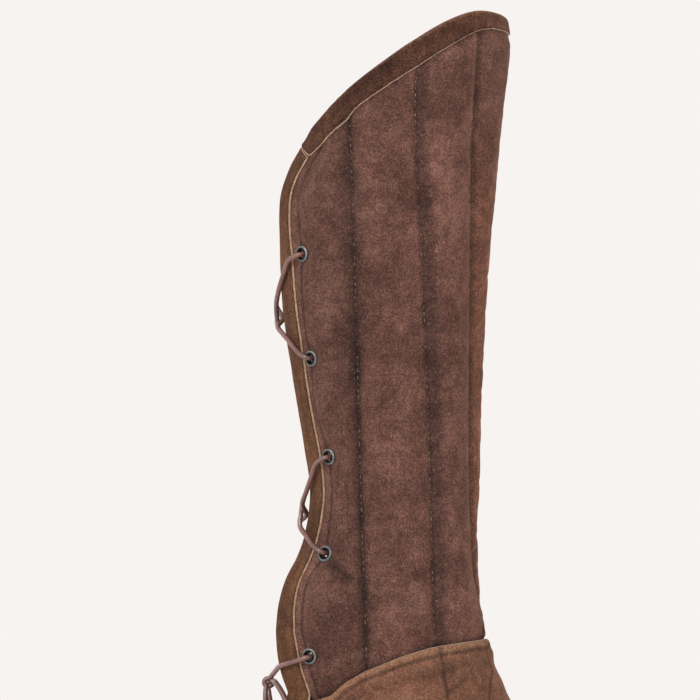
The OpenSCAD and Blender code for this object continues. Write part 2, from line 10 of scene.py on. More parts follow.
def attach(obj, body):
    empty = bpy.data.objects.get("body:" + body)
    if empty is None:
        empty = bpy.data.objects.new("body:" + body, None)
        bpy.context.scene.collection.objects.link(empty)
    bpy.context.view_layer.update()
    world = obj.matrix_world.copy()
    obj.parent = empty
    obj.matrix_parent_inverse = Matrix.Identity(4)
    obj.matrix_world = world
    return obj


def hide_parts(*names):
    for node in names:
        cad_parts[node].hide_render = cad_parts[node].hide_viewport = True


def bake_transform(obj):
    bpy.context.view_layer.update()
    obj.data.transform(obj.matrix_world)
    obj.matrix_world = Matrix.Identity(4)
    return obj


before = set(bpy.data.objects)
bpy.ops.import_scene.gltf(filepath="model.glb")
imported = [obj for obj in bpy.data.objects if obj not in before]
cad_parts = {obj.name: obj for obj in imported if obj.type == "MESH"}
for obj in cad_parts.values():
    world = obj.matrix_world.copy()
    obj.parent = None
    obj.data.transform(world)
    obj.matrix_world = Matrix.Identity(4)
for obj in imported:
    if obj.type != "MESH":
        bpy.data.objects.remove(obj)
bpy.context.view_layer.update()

# Shapes are worked out in millimetres from the leg axis, for the left side, and own() moves them into place.
MM = 0.001
LEG_AXIS_X = -18.25

SIDES = {"left": 1, "right": -1}

# Side view of the leg: height against distance from the leg axis
FRONT = [
    (0, 118), (22, 95), (46, 76.5), (58, 71), (65, 66.8), (72, 63.3), (85, 61.3), (97, 62.2),
    (110, 60.4), (155, 57), (180, 58.6), (213, 59), (286, 61.4), (345, 65.7), (398, 70.7), (442, 75.6),
    (462, 78), (476, 78.6), (488, 77), (500, 75),
]
BACK = [
    (0, -44.6), (20, -55.6), (46, -65.1), (66, -72), (86, -74.6), (100, -74), (112, -72), (124, -68.2),
    (140, -60), (155, -55.2), (180, -52), (207, -55.3), (254, -63), (300, -69.7), (346, -71.7),
    (372, -71.3), (391, -65.3), (406, -57.4), (420, -53.5), (437, -50.5), (500, -45),
]
WIDTH = [(0, 47), (60, 46), (100, 46), (180, 47), (250, 51), (330, 55), (410, 58), (500, 59)]
GAP = [(0, 14), (90, 15), (190, 12), (340, 13), (420, 15)]
SEAM_C = [
    (60, 70), (105, 57), (117, 54.4), (130, 52), (167, 49.6), (240, 49.2), (320, 49.8), (400, 50.8),
    (475, 55),
]
SEAM_B = [
    (0, 41), (25, 39), (49, 35.8), (68, 31.5), (90, 28), (160, 25.8), (210, 24.5), (307, 20.8),
    (360, 18.5), (410, 16), (475, 17),
]
SEAM_A_LOW, SEAM_A_LEAN, SEAM_A_Z = -16, -0.0285, 100
TOE_SPLIT_X, TOE_SPLIT_TURN = 61.5, math.radians(14)

# Heights of the top edge and of the foot panel's edge, by seam number from the centre front to the back edge
TOP = [
    (0, 488), (0.5, 491.7), (1, 492.8), (1.5, 486.7), (2, 474.8), (2.5, 458.9), (2.9, 446.4),
    (2.98, 444), (3.02, 443.2), (3.1, 442.6), (3.5, 439.1), (4, 434.6), (4.3, 428.5), (4.55, 422.9),
    (4.78, 417.2), (5, 406.3),
]
FOOT = [(0, 85), (1, 85), (2, 81), (2.5, 75), (3, 65.5), (3.5, 57.5), (4, 49), (5, 40)]
TOP_DEPTH = [
    (0, 10.8), (0.5, 11.3), (0.75, 11.7), (1, 13.2), (1.5, 17.2), (2, 19), (2.5, 18.1), (2.9, 17.6),
    (3, 19.6), (3.1, 20.3), (3.5, 20.6), (4, 20.9), (4.2, 22.6), (4.4, 26), (4.6, 25.6), (5, 22),
]

# Extra widths of the back binding and the eyelet strip, and the stitched line's distance from the back edge
BIND_MORE = [
    (0, 3), (46, 6), (74, 5.5), (100, 2.5), (125, 1.2), (165, 2.3), (203, 4), (235, 3.2), (285, 4),
    (335, 2), (350, 0.3), (385, 0.4), (400, 2.8),
]
STRIP_MORE = [(0, 6), (60, 6.5), (74.5, 7), (141, 3.7), (204, 2.7), (268, 1.8), (335, 2.9), (400, 3)]
LINE_D = [
    (50, 27.5), (74, 27.5), (90, 25), (110, 23), (125, 23.5), (141, 26), (170, 25), (204, 26),
    (235, 23), (268, 25), (300, 25), (335, 26), (370, 24), (400, 26),
]
EYELET_Z = [74.5, 140.9, 203.8, 267.5, 335.3]

# Sizes of the CAD source: layers, bindings, hem and lap, and the places of the eyelets and edge stitches
SUEDE_T, LINING_T, CROWN, INNER_CROWN = 1.6, 1.0, 6.0, 2.5
FOOT_PAD_T, FOOT_CROWN, HALF_SEAM = 2.0, 2.5, 0.1
FRONT_PAD, BACK_PAD = 3.6, 2.3
BIND_T, BIND_W, EDGE_IN, HEM_W, LAP = 1.4, 15.5, 1.6, 12.0, 12.0
STITCH_DOWN = 5.6
STRIP_W, EYELET_IN = 31.2, 24.5
EYELET_U = 4 + (STRIP_W - EYELET_IN) / (STRIP_W - EDGE_IN)

# Crown of each channel: its share of the full height, its fullness, and the width from which it is full
RISE = np.array([0.6, 0.9, 1.0, 1.0, 0.0])
CROWN_SHAPE = 2.6
FULL_CHANNEL = 30

# How far the crown fades out under the top binding, above the lap and round the eyelets; less at the front
TOP_FADE, TOP_FADE_LESS = 34, 26
LAP_FADE, LAP_FADE_LESS = 25, 15
LAP_KEEP, LAP_KEEP_MORE = 0.3, 0.35
EYELET_FLAT, EYELET_FADE = 5.5, 7

# Foot panel: how its layers step out over the shell in the lap, and rise above the hem
LAP_BASE, STEP_FROM, STEP_HIGH = 4.0, 0.6, 13.4
LAYER_GAP, HEM_FADE = 0.2, 12


def hermite(a, b, slope_a, slope_b, h, k):
    """Cubic from a to b with the given slopes, at the share k of a step of length h."""
    k2, k3 = k * k, k ** 3
    ends = (2 * k3 - 3 * k2 + 1) * a + (3 * k2 - 2 * k3) * b
    return ends + (k3 - 2 * k2 + k) * h * slope_a + (k3 - k2) * h * slope_b


def smooth(table, x):
    """Smooth curve through the points of a table, as in the CAD source."""
    xs, ys = np.array(table, float).T
    low = np.maximum(np.arange(len(xs)) - 1, 0)
    high = np.minimum(np.arange(len(xs)) + 1, len(xs) - 1)
    slope = (ys[high] - ys[low]) / (xs[high] - xs[low])
    i = np.clip(np.searchsorted(xs, x, side="right") - 1, 0, len(xs) - 2)
    h = xs[i + 1] - xs[i]
    return hermite(ys[i], ys[i + 1], slope[i], slope[i + 1], h, np.clip((x - xs[i]) / h, 0, 1))


def ease(x):
    """Smooth step from nought to one."""
    k = np.clip(x, 0, 1)
    return k * k * (3 - 2 * k)


def section(z):
    """Ellipse of the stitched surface at height z: centre, half depth, half width, angle of the back edge."""
    f, r = smooth(FRONT, z) - FRONT_PAD, smooth(BACK, z) + BACK_PAD
    w, g = smooth(WIDTH, z), smooth(GAP, z)
    a = (f - r) / (1 + np.sqrt(1 - (g / w) ** 2))
    return f - a, a, w, np.pi - np.arcsin(g / w)


def place(s, z, th, off):
    """Point at angle th of section s, off millimetres outwards from it."""
    nx, ny = np.cos(th) / s[1], np.sin(th) / s[2]
    n = np.hypot(nx, ny)
    x = s[0] + s[1] * np.cos(th) + off * nx / n
    return np.stack(np.broadcast_arrays(x, s[2] * np.sin(th) + off * ny / n, z), -1)


def arc_rate(s, th):
    """Millimetres round the section for each radian at angle th."""
    return np.hypot(s[1] * np.sin(th), s[2] * np.cos(th))


def from_edge(s, d):
    """Angle of the point d millimetres round the section from the back edge."""
    return s[3] - d / arc_rate(s, s[3] - 0.5 * d / arc_rate(s, s[3]))


def at_x(s, x):
    """Angle of the point at distance x from the leg axis in the side view."""
    return np.arccos(np.clip((x - s[0]) / s[1], -0.97, 0.9962))


def seam_a_x(z):
    return SEAM_A_LOW + SEAM_A_LEAN * (z - SEAM_A_Z)


def seams(foot, z, s):
    """Angles of the six seams at height z, from the centre front to the back edge."""
    c = np.maximum(TOE_SPLIT_TURN, at_x(s, TOE_SPLIT_X)) if foot else at_x(s, smooth(SEAM_C, z))
    a = at_x(s, seam_a_x(z))
    edge = from_edge(s, EDGE_IN)
    strip = np.maximum(a + 0.3 * (edge - a), from_edge(s, STRIP_W + smooth(STRIP_MORE, z)))
    return np.stack(np.broadcast_arrays(0.0, c, at_x(s, smooth(SEAM_B, z)), a, strip, edge), -1)


def split(u):
    """Number of the field that u is in, and the share of the way across it."""
    k = np.clip(np.floor(u), 0, 4).astype(int)
    return k, u - k


def pick(table, k):
    return np.take_along_axis(table, np.broadcast_to(k, table.shape[:-1])[..., None], -1)[..., 0]


def theta(foot, u, z, s):
    """Angle of the place u between the seams, of the foot panel or of the shell."""
    k, f = split(u)
    t = seams(foot, z, s)
    return pick(t, k) * (1 - f) + pick(t, k + 1) * f


def surface(foot, u, z, off):
    """Point of the foot panel or of the shell at the place u and height z, off millimetres outwards."""
    s = section(z)
    return place(s, z, theta(foot, u, z, s), off)


def top_z(u):
    return smooth(TOP, u)


def foot_z(u):
    return smooth(FOOT, u)


def top_depth(u):
    """Depth of the top binding measured straight down."""
    return smooth(TOP_DEPTH, u)


def eyelet_points(off):
    z = np.array(EYELET_Z)
    return surface(False, np.full(len(z), EYELET_U), z, off)


EYELETS = eyelet_points(HALF_SEAM + SUEDE_T)


def near_eyelet(p):
    return np.min(np.linalg.norm(p[..., None, :] - EYELETS, axis=-1), -1)


def line_d(z, s):
    """Angle of the line of stitches that runs down behind the eyelets."""
    return from_edge(s, smooth(LINE_D, z))


def at_front(u):
    """One near the centre front, falling to nought on the first seam."""
    return ease((1 - u) / 0.5)


def puff(u, z, s):
    """Share of the crown at each point: nought on the seams, one in the middle of a full channel."""
    k, f = split(u)
    t = seams(False, z, s)
    th = pick(t, k) * (1 - f) + pick(t, k + 1) * f
    rear = k >= 3
    a = np.where(rear, t[..., 3], pick(t, k))
    b = np.where(rear, line_d(z, s), pick(t, k + 1))
    q = np.clip((th - a) / (b - a), 0, 1)
    wide = np.minimum(1, (b - a) * arc_rate(s, (a + b) / 2) / FULL_CHANNEL)
    rise = np.where(rear, RISE[3], RISE[k]) * wide
    front = at_front(u)
    keep = LAP_KEEP + LAP_KEEP_MORE * front
    fade = ease((top_z(u) - top_depth(u) - z) / (TOP_FADE - TOP_FADE_LESS * front))
    fade = fade * (keep + (1 - keep) * ease((z - foot_z(u)) / (LAP_FADE - LAP_FADE_LESS * front)))
    flat = ease((near_eyelet(place(s, z, th, HALF_SEAM + SUEDE_T)) - EYELET_FLAT) / EYELET_FADE)
    return (1 - np.abs(2 * q - 1) ** CROWN_SHAPE) * rise * fade * flat


def foot_off(face, u, z):
    """Outward position of a face of the foot panel's layers, which step out over the shin in the lap."""
    k, f = split(u)
    m = ease((foot_z(u) - LAP - STEP_FROM - z) / STEP_HIGH)
    c = np.where(k == 4, 0, 2 * np.sqrt(f * (1 - f))) * ease((z - HEM_W) / HEM_FADE)
    pad = FOOT_PAD_T * np.where(k == 4, 0, np.where(k == 3, 1 - f * f, 1))
    low = m * (-HALF_SEAM - LINING_T) + (1 - m) * LAP_BASE
    high = m * (HALF_SEAM + pad + FOOT_CROWN * c) + (1 - m) * (LAP_BASE + LINING_T + LAYER_GAP)
    return {
        "out": high + SUEDE_T,
        "under": high,
        "pad_out": high - LAYER_GAP,
        "pad_in": low + LINING_T + LAYER_GAP,
        "lining": low + LINING_T,
        "inside": low,
    }[face]


def rough(p, size, seed):
    """Smooth noise from about -1 to 1 at every point, with features about size millimetres across."""
    shift = Vector((seed * 17.3, seed * 5.1, seed * 9.7))
    flat = p.reshape(-1, 3) / size
    return np.array([noise.noise(Vector(q) + shift) for q in flat]).reshape(p.shape[:-1])


# Meshes
def own(name, verts, faces, side="left", mats=(), face_mat=None, attrs=None, sub=0):
    """Object from points in millimetres on the left side, mirrored for the right side.

    Its points keep their rest position, on which the materials are laid."""
    sign = SIDES[side]
    p = np.array(verts, float).reshape(-1, 3) * (1, sign, 1)
    p = (p + (LEG_AXIS_X, 0, 0)) * MM
    turned = faces if sign > 0 else [tuple(reversed(f)) for f in faces]
    mesh = bpy.data.meshes.new(name)
    mesh.from_pydata(p.tolist(), [], turned)
    for m in mats:
        mesh.materials.append(m)
    if face_mat is not None:
        mesh.polygons.foreach_set("material_index", np.array(face_mat, np.int32))
    mesh.polygons.foreach_set("use_smooth", np.ones(len(mesh.polygons), bool))
    rest = mesh.attributes.new("rest", "FLOAT_VECTOR", "POINT")
    rest.data.foreach_set("vector", (p + (0, 0.2 * sign, 0)).astype(np.float32).ravel())
    for key, value in (attrs or {}).items():
        values = np.asarray(value, np.float32).ravel()
        mesh.attributes.new(key, "FLOAT", "POINT").data.foreach_set("value", values)
    ob = bpy.data.objects.new(name, mesh)
    bpy.context.scene.collection.objects.link(ob)
    if sub:
        modifier = ob.modifiers.new("smooth", "SUBSURF")
        modifier.levels = modifier.render_levels = sub
    return ob


def cell_faces(n, m, keep=None):
    """Faces of a grid of n by m points, or of the cells of it that keep marks."""
    i, j = np.meshgrid(np.arange(n - 1), np.arange(m - 1), indexing="ij")
    a = (i * m + j)[keep] if keep is not None else (i * m + j).ravel()
    return np.stack([a, a + m, a + m + 1, a + 1], 1)


def thick_sheet(name, outer, inner, keep=None, edge_mat=False, attrs=None, **more):
    """Closed sheet between two grids of points, with holes where keep is false.

    With edge_mat, the wall along its top edge gets the second material."""
    n, m = outer.shape[:2]
    keep = np.ones((n - 1, m - 1), bool) if keep is None else keep
    top = cell_faces(n, m, keep)
    faces = [tuple(f) for f in top.tolist()] + [tuple(reversed(f)) for f in (top + n * m).tolist()]
    mat = [0] * len(faces)
    sides = dict.fromkeys((a, b) for f in top.tolist() for a, b in zip(f, f[1:] + f[:1]))
    for a, b in sides:
        if (b, a) not in sides:
            faces.append((b, a, a + n * m, b + n * m))
            upper = a % m == m - 1 and b % m == m - 1
            mat.append(1 if edge_mat and upper else 0)
    points = np.concatenate([outer.reshape(-1, 3), inner.reshape(-1, 3)])
    used = np.unique(np.concatenate([np.array(f) for f in faces]))
    index = np.full(len(points), -1)
    index[used] = np.arange(len(used))
    faces = [tuple(int(index[v]) for v in f) for f in faces]
    attrs = {key: np.tile(np.broadcast_to(v, (n, m)).ravel(), 2)[used] for key, v in (attrs or {}).items()}
    return own(name, points[used], faces, face_mat=mat, attrs=attrs, **more)


CLOTH = dict(quality=5, mass=0.25, tension_stiffness=30, compression_stiffness=30, shear_stiffness=8,
             bending_stiffness=0.4, vertex_group_mass="held", use_pressure=True,
             uniform_pressure_force=4.0, shrink_min=-0.015)
CLOTH_FRAMES, MOST_SWELL = 20, 2.0


def cloth_swell(points, faces, held):
    """Blows fabric up between the points that are held, as a cloth, and returns the moved points."""
    scene = bpy.context.scene
    mesh = bpy.data.meshes.new("swelling")
    mesh.from_pydata((points * MM).tolist(), [], faces)
    ob = bpy.data.objects.new("swelling", mesh)
    scene.collection.objects.link(ob)
    group = ob.vertex_groups.new(name="held")
    group.add([int(i) for i in np.flatnonzero(held)], 1.0, "ADD")
    cloth = ob.modifiers.new("cloth", "CLOTH")
    for key, value in CLOTH.items():
        setattr(cloth.settings, key, value)
    cloth.settings.effector_weights.gravity = 0
    cloth.collision_settings.use_collision = False
    cloth.point_cache.frame_start, cloth.point_cache.frame_end = 1, CLOTH_FRAMES
    for f in range(1, CLOTH_FRAMES + 1):
        scene.frame_set(f)
    moved = ob.evaluated_get(bpy.context.evaluated_depsgraph_get()).to_mesh()
    co = np.zeros(len(points) * 3)
    moved.vertices.foreach_get("co", co)
    scene.frame_set(1)
    bpy.data.objects.remove(ob)
    step = co.reshape(-1, 3) / MM - points
    size = np.linalg.norm(step, axis=1, keepdims=True)
    return points + step * np.minimum(1, MOST_SWELL / np.maximum(size, 1e-6))


# Materials
def linear(r, g, b):
    """Colour from its values of 0 to 255 on a screen."""
    shares = (v / 255 for v in (r, g, b))
    return (*(v / 12.92 if v <= 0.04045 else ((v + 0.055) / 1.055) ** 2.4 for v in shares), 1)


class Nodes:
    """Short names for adding and linking the nodes of a material or a world."""

    def __init__(self, owner):
        owner.use_nodes = True
        self.owner = owner
        self.tree = owner.node_tree
        self.tree.nodes.clear()

    def feed(self, socket, value):
        if isinstance(value, bpy.types.NodeSocket):
            self.tree.links.new(value, socket)
        else:
            socket.default_value = value

    def add(self, kind, values=(), **props):
        node = self.tree.nodes.new("ShaderNode" + kind)
        for key, value in props.items():
            setattr(node, key, value)
        for key, value in dict(values).items():
            self.feed(node.inputs[key], value)
        return node

    def rest(self, scale):
        """Rest position, in units of 1 / scale metres."""
        values = {0: self.add("Attribute", attribute_name="rest").outputs["Vector"], 3: scale}
        return self.add("VectorMath", values, operation="SCALE").outputs[0]

    def noise(self, vector, size, detail=2.0, roughness=0.5):
        """Noise with features about size millimetres across."""
        values = {"Vector": vector, "Scale": 1000 / size, "Detail": detail, "Roughness": roughness}
        return self.add("TexNoise", values).outputs[0]

    def math(self, op, a, b, clamp=False):
        return self.add("Math", {0: a, 1: b}, operation=op, use_clamp=clamp).outputs[0]

    def total(self, *parts):
        """Sum of values, each times its share."""
        found = None
        for value, share in parts:
            term = self.math("MULTIPLY", value, share)
            found = term if found is None else self.math("ADD", found, term)
        return found

    def level(self, value, low, high):
        """Nought at the low value, rising to one at the high value."""
        return self.add("MapRange", {0: value, 1: low, 2: high, 3: 0.0, 4: 1.0}).outputs[0]

    def mix(self, share, a, b, blend="MIX"):
        node = self.add("Mix", data_type="RGBA", blend_type=blend)
        for index, value in ((0, share), (6, a), (7, b)):
            self.feed(node.inputs[index], value)
        return node.outputs[2]

    def value_of(self, name):
        return self.add("Attribute", attribute_name=name).outputs["Fac"]

    def near(self, value, centre, width):
        """One where the value is the centre, falling smoothly to nought at the width."""
        gap = self.math("ABSOLUTE", self.math("SUBTRACT", value, centre), 0.0)
        ramp = {0: gap, 1: 0.0, 2: width, 3: 1.0, 4: 0.0}
        return self.add("MapRange", ramp, interpolation_type="SMOOTHSTEP").outputs[0]

    def finish(self, color, rough, bump, depth, strength, **sockets):
        """Ends the material with its shader and a bump of the given depth in metres."""
        shader = self.add("BsdfPrincipled", {"Base Color": color, "Roughness": rough})
        for key, value in sockets.items():
            shader.inputs[key.replace("_", " ")].default_value = value
        relief = self.add("Bump", {"Height": bump, "Strength": strength, "Distance": depth})
        self.feed(shader.inputs["Normal"], relief.outputs[0])
        self.add("OutputMaterial", {0: shader.outputs[0]})
        return self.owner


def new_look(name):
    return Nodes(bpy.data.materials.new(name))


def suede(name, dark, base, light, zones, fleck=0.35):
    """Napped suede: slow mottling, brushed patches, fine nap and small pale specks.

    Each zone is (attribute, centre, width, wobble, strength, (blend, tint)). It tints the suede where the
    attribute, moved about by the wobble, is near the centre. Without a width, the attribute is its share."""
    n = new_look(name)
    v = n.rest(1.0)
    slow = n.level(n.noise(v, 34, 3, 0.55), 0.32, 0.68)
    patch = n.level(n.noise(v, 7, 3, 0.65), 0.3, 0.7)
    nap = n.level(n.noise(v, 1.2, 2, 0.7), 0.34, 0.66)
    tone = n.total((slow, 0.3), (patch, 0.25), (nap, 0.45))
    color = n.mix(n.level(tone, 0.2, 0.5), dark, base)
    color = n.mix(n.level(tone, 0.5, 0.8), color, light)
    drift = n.math("SUBTRACT", n.noise(v, 9, 3, 0.6), 0.5)
    for attribute, centre, width, wobble, strength, (blend, tint) in zones:
        value = n.value_of(attribute)
        if width:
            moved = n.math("ADD", value, n.math("MULTIPLY", drift, 4 * wobble))
            value = n.near(moved, centre, width)
        if blend == "MIX":
            value = n.math("MULTIPLY", value, n.level(nap, -0.1, 0.8))
        color = n.mix(n.math("MULTIPLY", value, strength, clamp=True), color, tint, blend)
    speck = n.level(n.noise(v, 1.5, 1, 0.5), 0.68, 0.76)
    color = n.mix(n.math("MULTIPLY", speck, fleck), color, linear(176, 136, 120))
    height = n.total((nap, 0.7), (patch, 0.5))
    return n.finish(color, 0.92, height, 0.0005, 0.5, Sheen_Weight=0.2, Sheen_Roughness=0.45,
                    Sheen_Tint=linear(190, 140, 110), Specular_IOR_Level=0.12)


WEAVE_PITCH = 0.9


def plain_cloth(name, base, other):
    """Plain weave, with a little uneven colour."""
    n = new_look(name)
    v = n.rest(1.0)
    x = n.add("SeparateXYZ", {0: n.rest(1000.0 * 2 * math.pi / WEAVE_PITCH)})
    warp = n.math("SINE", x.outputs[2], 0.0)
    weft = n.math("SINE", n.math("ADD", x.outputs[0], x.outputs[1]), 0.0)
    weave = n.math("MULTIPLY", warp, weft)
    color = n.mix(n.level(n.noise(v, 22, 3), 0.3, 0.7), base, other)
    color = n.mix(n.math("MULTIPLY", n.level(weave, -1, 1), 0.25), color, linear(120, 104, 84))
    return n.finish(color, 0.9, weave, 0.0002, 0.4, Sheen_Weight=0.15, Specular_IOR_Level=0.2)


def cut_edge(name, base, light):
    """Raw cut edge of suede: pale, fuzzy and uneven."""
    n = new_look(name)
    v = n.rest(1.0)
    fuzz = n.level(n.noise(v, 1.6, 3, 0.7), 0.25, 0.75)
    color = n.mix(fuzz, base, light)
    return n.finish(color, 0.95, fuzz, 0.0004, 0.6, Sheen_Weight=0.3, Specular_IOR_Level=0.1)


def cord_leather(name):
    n = new_look(name)
    v = n.rest(1.0)
    slow = n.level(n.noise(v, 14, 3), 0.3, 0.7)
    fine = n.level(n.noise(v, 0.9, 3, 0.7), 0.3, 0.7)
    color = n.mix(slow, linear(86, 52, 46), linear(128, 82, 74))
    color = n.mix(n.math("MULTIPLY", fine, 0.3), color, linear(158, 112, 104))
    return n.finish(color, 0.34, fine, 0.00012, 0.35, Coat_Weight=0.7, Coat_Roughness=0.22,
                    Specular_IOR_Level=0.6)


# Distances in metres from an eyelet's middle where the painted shade of its hole gives way to the pale rim
RIM_FROM, RIM_TO = 0.0042, 0.0046


def old_metal(side):
    """Dull steel: a pale thin rim, and painted shade from the inner part of the flange down the barrel, which
    makes the hole look dark.
    """
    n = new_look(f"eyelet_metal_{side}")
    v = n.add("TexCoord").outputs["Object"]
    gap = 1.0
    for x, y, z in EYELETS:
        centre = ((x + LEG_AXIS_X) * MM, y * SIDES[side] * MM, z * MM)
        to_centre = n.add("VectorMath", {0: v, 1: centre}, operation="DISTANCE").outputs["Value"]
        gap = n.math("MINIMUM", gap, to_centre)
    rim = n.level(gap, RIM_FROM, RIM_TO)
    stain = n.level(n.noise(v, 2.2, 4, 0.65), 0.3, 0.7)
    pale = n.mix(stain, linear(90, 98, 98), linear(152, 160, 158))
    # Painted shade inside the rim
    color = n.mix(rim, linear(34, 34, 34), pale)
    return n.finish(color, 0.5, stain, 0.00008, 0.4, Metallic=0.5)


def thread_look(name, color, other):
    n = new_look(name)
    v = n.rest(1.0)
    mottled = n.mix(n.level(n.noise(v, 3, 2), 0.35, 0.65), color, other)
    return n.finish(mottled, 0.75, n.noise(v, 0.4, 2), 0.0001, 0.4)


# Multiplies the suede darker: the tint of the painted shade in grooves, in creases and under edges, used as
# well for darker tones of the suede
DARKER = ("MULTIPLY", (0.27, 0.34, 0.37, 1))
# Painted highlight: it lightens the crown's edge beside seam C, and adds to the pale rubbed fuzz along the
# bindings' folds
HIGHLIGHT_AND_FUZZ = ("MIX", linear(150, 110, 86))
SHELL_ZONES = (
    # The front channel's warmer tone, with painted light that brightens it
    ("warm_and_painted_light", 0, 0, 0, 0.9, ("MULTIPLY", (1.33, 1.23, 1.04, 1))),
    ("dim", 0, 0, 0, 0.28, DARKER),
    # Wide painted shade beside seam A
    ("painted_shade_a", 0, 0, 0, 1.0, DARKER),
    # Painted shade in the grooves of seams A, B and C and along the stitches of line D, and a wider painted
    # shade on the front side of seam B
    ("from_a", 0, 2.4, 0.3, 0.5, DARKER),
    ("from_b", -0.3, 2.4, 0.4, 0.55, DARKER),
    ("from_b", -3.8, 7, 2.2, 0.6, DARKER),
    ("from_c", -2.2, 3.4, 0.5, 0.5, DARKER),
    ("from_c", -0.8, 1.2, 0.2, 0.5, DARKER),
    ("from_c", 1.7, 1.6, 0.2, 0.3, HIGHLIGHT_AND_FUZZ),
    ("from_d", 0, 2.6, 0.5, 0.75, DARKER),
    # Painted shadow under the top binding, painted shade above the foot panel's edge, and painted shade in
    # the creases
    ("below_top", 0, 5, 0.8, 0.4, DARKER),
    ("above_foot", 0, 5, 0.5, 0.55, DARKER),
    ("crease", 0, 0, 0, 0.6, DARKER),
)
FOOT_ZONES = (
    ("below_edge", 1.0, 4.6, 1.6, 0.62, ("MIX", linear(174, 134, 104))),
    # Painted shade along the stitched groove below the edge, a soft darker band lower down, painted shade
    # along seam B's stitches and painted shade in the creases
    ("below_edge", 5.6, 2.4, 0.6, 0.55, DARKER),
    ("below_edge", 14, 7, 4, 0.3, DARKER),
    ("from_b", 0, 2.2, 0.4, 0.6, DARKER),
    ("crease", 0, 0, 0, 0.8, DARKER),
)
BINDING_ZONES = (
    # Pale rubbed fuzz along the fold, with a painted highlight
    ("from_fold", 0, 2.6, 0.6, 0.55, HIGHLIGHT_AND_FUZZ),
    ("from_raw", 0, 4.0, 0.9, 0.5, DARKER),
    ("from_raw", 9, 4.5, 3.5, 0.25, DARKER),
    ("tip", 0, 0, 0, 1.0, ("MULTIPLY", (1.55, 1.55, 1.7, 1))),
)
SUEDE = suede("suede", linear(73, 50, 44), linear(105, 72, 63), linear(140, 100, 88), SHELL_ZONES)
FOOT_SUEDE = suede("foot_suede", linear(94, 63, 50), linear(124, 85, 68), linear(154, 112, 89), FOOT_ZONES)
TOP_BINDING = suede("top_binding", linear(51, 32, 26), linear(80, 52, 42), linear(111, 76, 58),
                    BINDING_ZONES, fleck=0.15)
BACK_BINDING = suede("back_binding", linear(72, 47, 36), linear(98, 66, 49), linear(124, 87, 62),
                     BINDING_ZONES, fleck=0.15)
RAW_EDGE = cut_edge("raw_edge", linear(132, 98, 78), linear(216, 184, 152))
TAN_EDGE = cut_edge("tan_edge", linear(122, 88, 70), linear(160, 122, 98))
LINING = plain_cloth("lining_cloth", linear(205, 190, 164), linear(190, 174, 146))
WADDING = plain_cloth("wadding_fluff", linear(236, 232, 220), linear(224, 218, 204))
LACE = cord_leather("lace_leather")
PALE_THREAD = thread_look("pale_thread", linear(142, 124, 116), linear(100, 82, 76))
DARK_THREAD = thread_look("dark_thread", linear(62, 46, 42), linear(84, 64, 58))


def across_fold(ob):
    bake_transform(ob)


def across_toe(ob):
    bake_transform(ob)


def bend_foot(ob, part):
    """Bakes the transform of the toe part of the foot panel, or of the rest of it."""
    if part == "toe":
        across_toe(ob)
    else:
        across_fold(ob)


def columns(stops, counts):
    """Places across the fields, closer together next to the seams."""
    found = [np.array([stops[0]])]
    for a, b, n in zip(stops, stops[1:], counts):
        k = np.arange(1, n + 1) / n
        found.append(a + (b - a) * (0.6 * k + 0.4 * (1 - np.cos(np.pi * k)) / 2))
    return np.concatenate(found)[:, None]


FIELD_COLUMNS = [9, 14, 18, 15, 10]
FIELD_STARTS = [sum(FIELD_COLUMNS[:k]) for k in range(5)]
SHELL_U = columns([0, 1, 2, 3, EYELET_U, 5], FIELD_COLUMNS)
SHELL_ROWS = 150


def shell_grid():
    """Places, heights and sections of the shell's points."""
    rows = np.linspace(0, 1, SHELL_ROWS)
    z = foot_z(SHELL_U) - LAP + rows * (top_z(SHELL_U) - EDGE_IN - foot_z(SHELL_U) + LAP)
    return SHELL_U, z, section(z)


def dent(p, creases):
    """Depth of soft creases at each point, from their ends in the side view, width and depth."""
    total = np.zeros(p.shape[:-1])
    for a, b, width, depth in creases:
        a, d = np.array(a, float), np.array(b, float) - np.array(a, float)
        q = p[..., [0, 2]] - a
        t = np.clip((q @ d) / (d @ d), 0, 1)
        gap = np.linalg.norm(q - t[..., None] * d, axis=-1)
        total += depth * np.exp(-(gap / width) ** 2)
    return total


def off_line(s, th, line):
    """Distance in millimetres round the leg from the line at the given angle."""
    return np.clip((th - line) * arc_rate(s, th), -MARK_REACH, MARK_REACH)


SHELL_CREASES = [
    ((-37, 134.5), (-26, 125), 3, 1.4), ((-12, 112), (10, 109), 4, 0.7), ((18, 128), (40, 136), 4, 0.5),
]
FOOT_CREASES = [((37.3, 51.7), (44.9, 59.2), 1.8, 0.9), ((20, 60), (36, 66), 4, 0.5)]
SHELL_SEED = {"left": 3, "right": 8}
FOOT_SEED = {"left": 21, "right": 27}
MARK_REACH, HOLE_R = 20, 3.6
BEFORE_CLOTH, HELD_BELOW, LUMPS_GROW = 0.86, 0.02, 1.4
FLARE, FLARE_FADE = 3.2, 9
FOOT_SWELL = 1.5


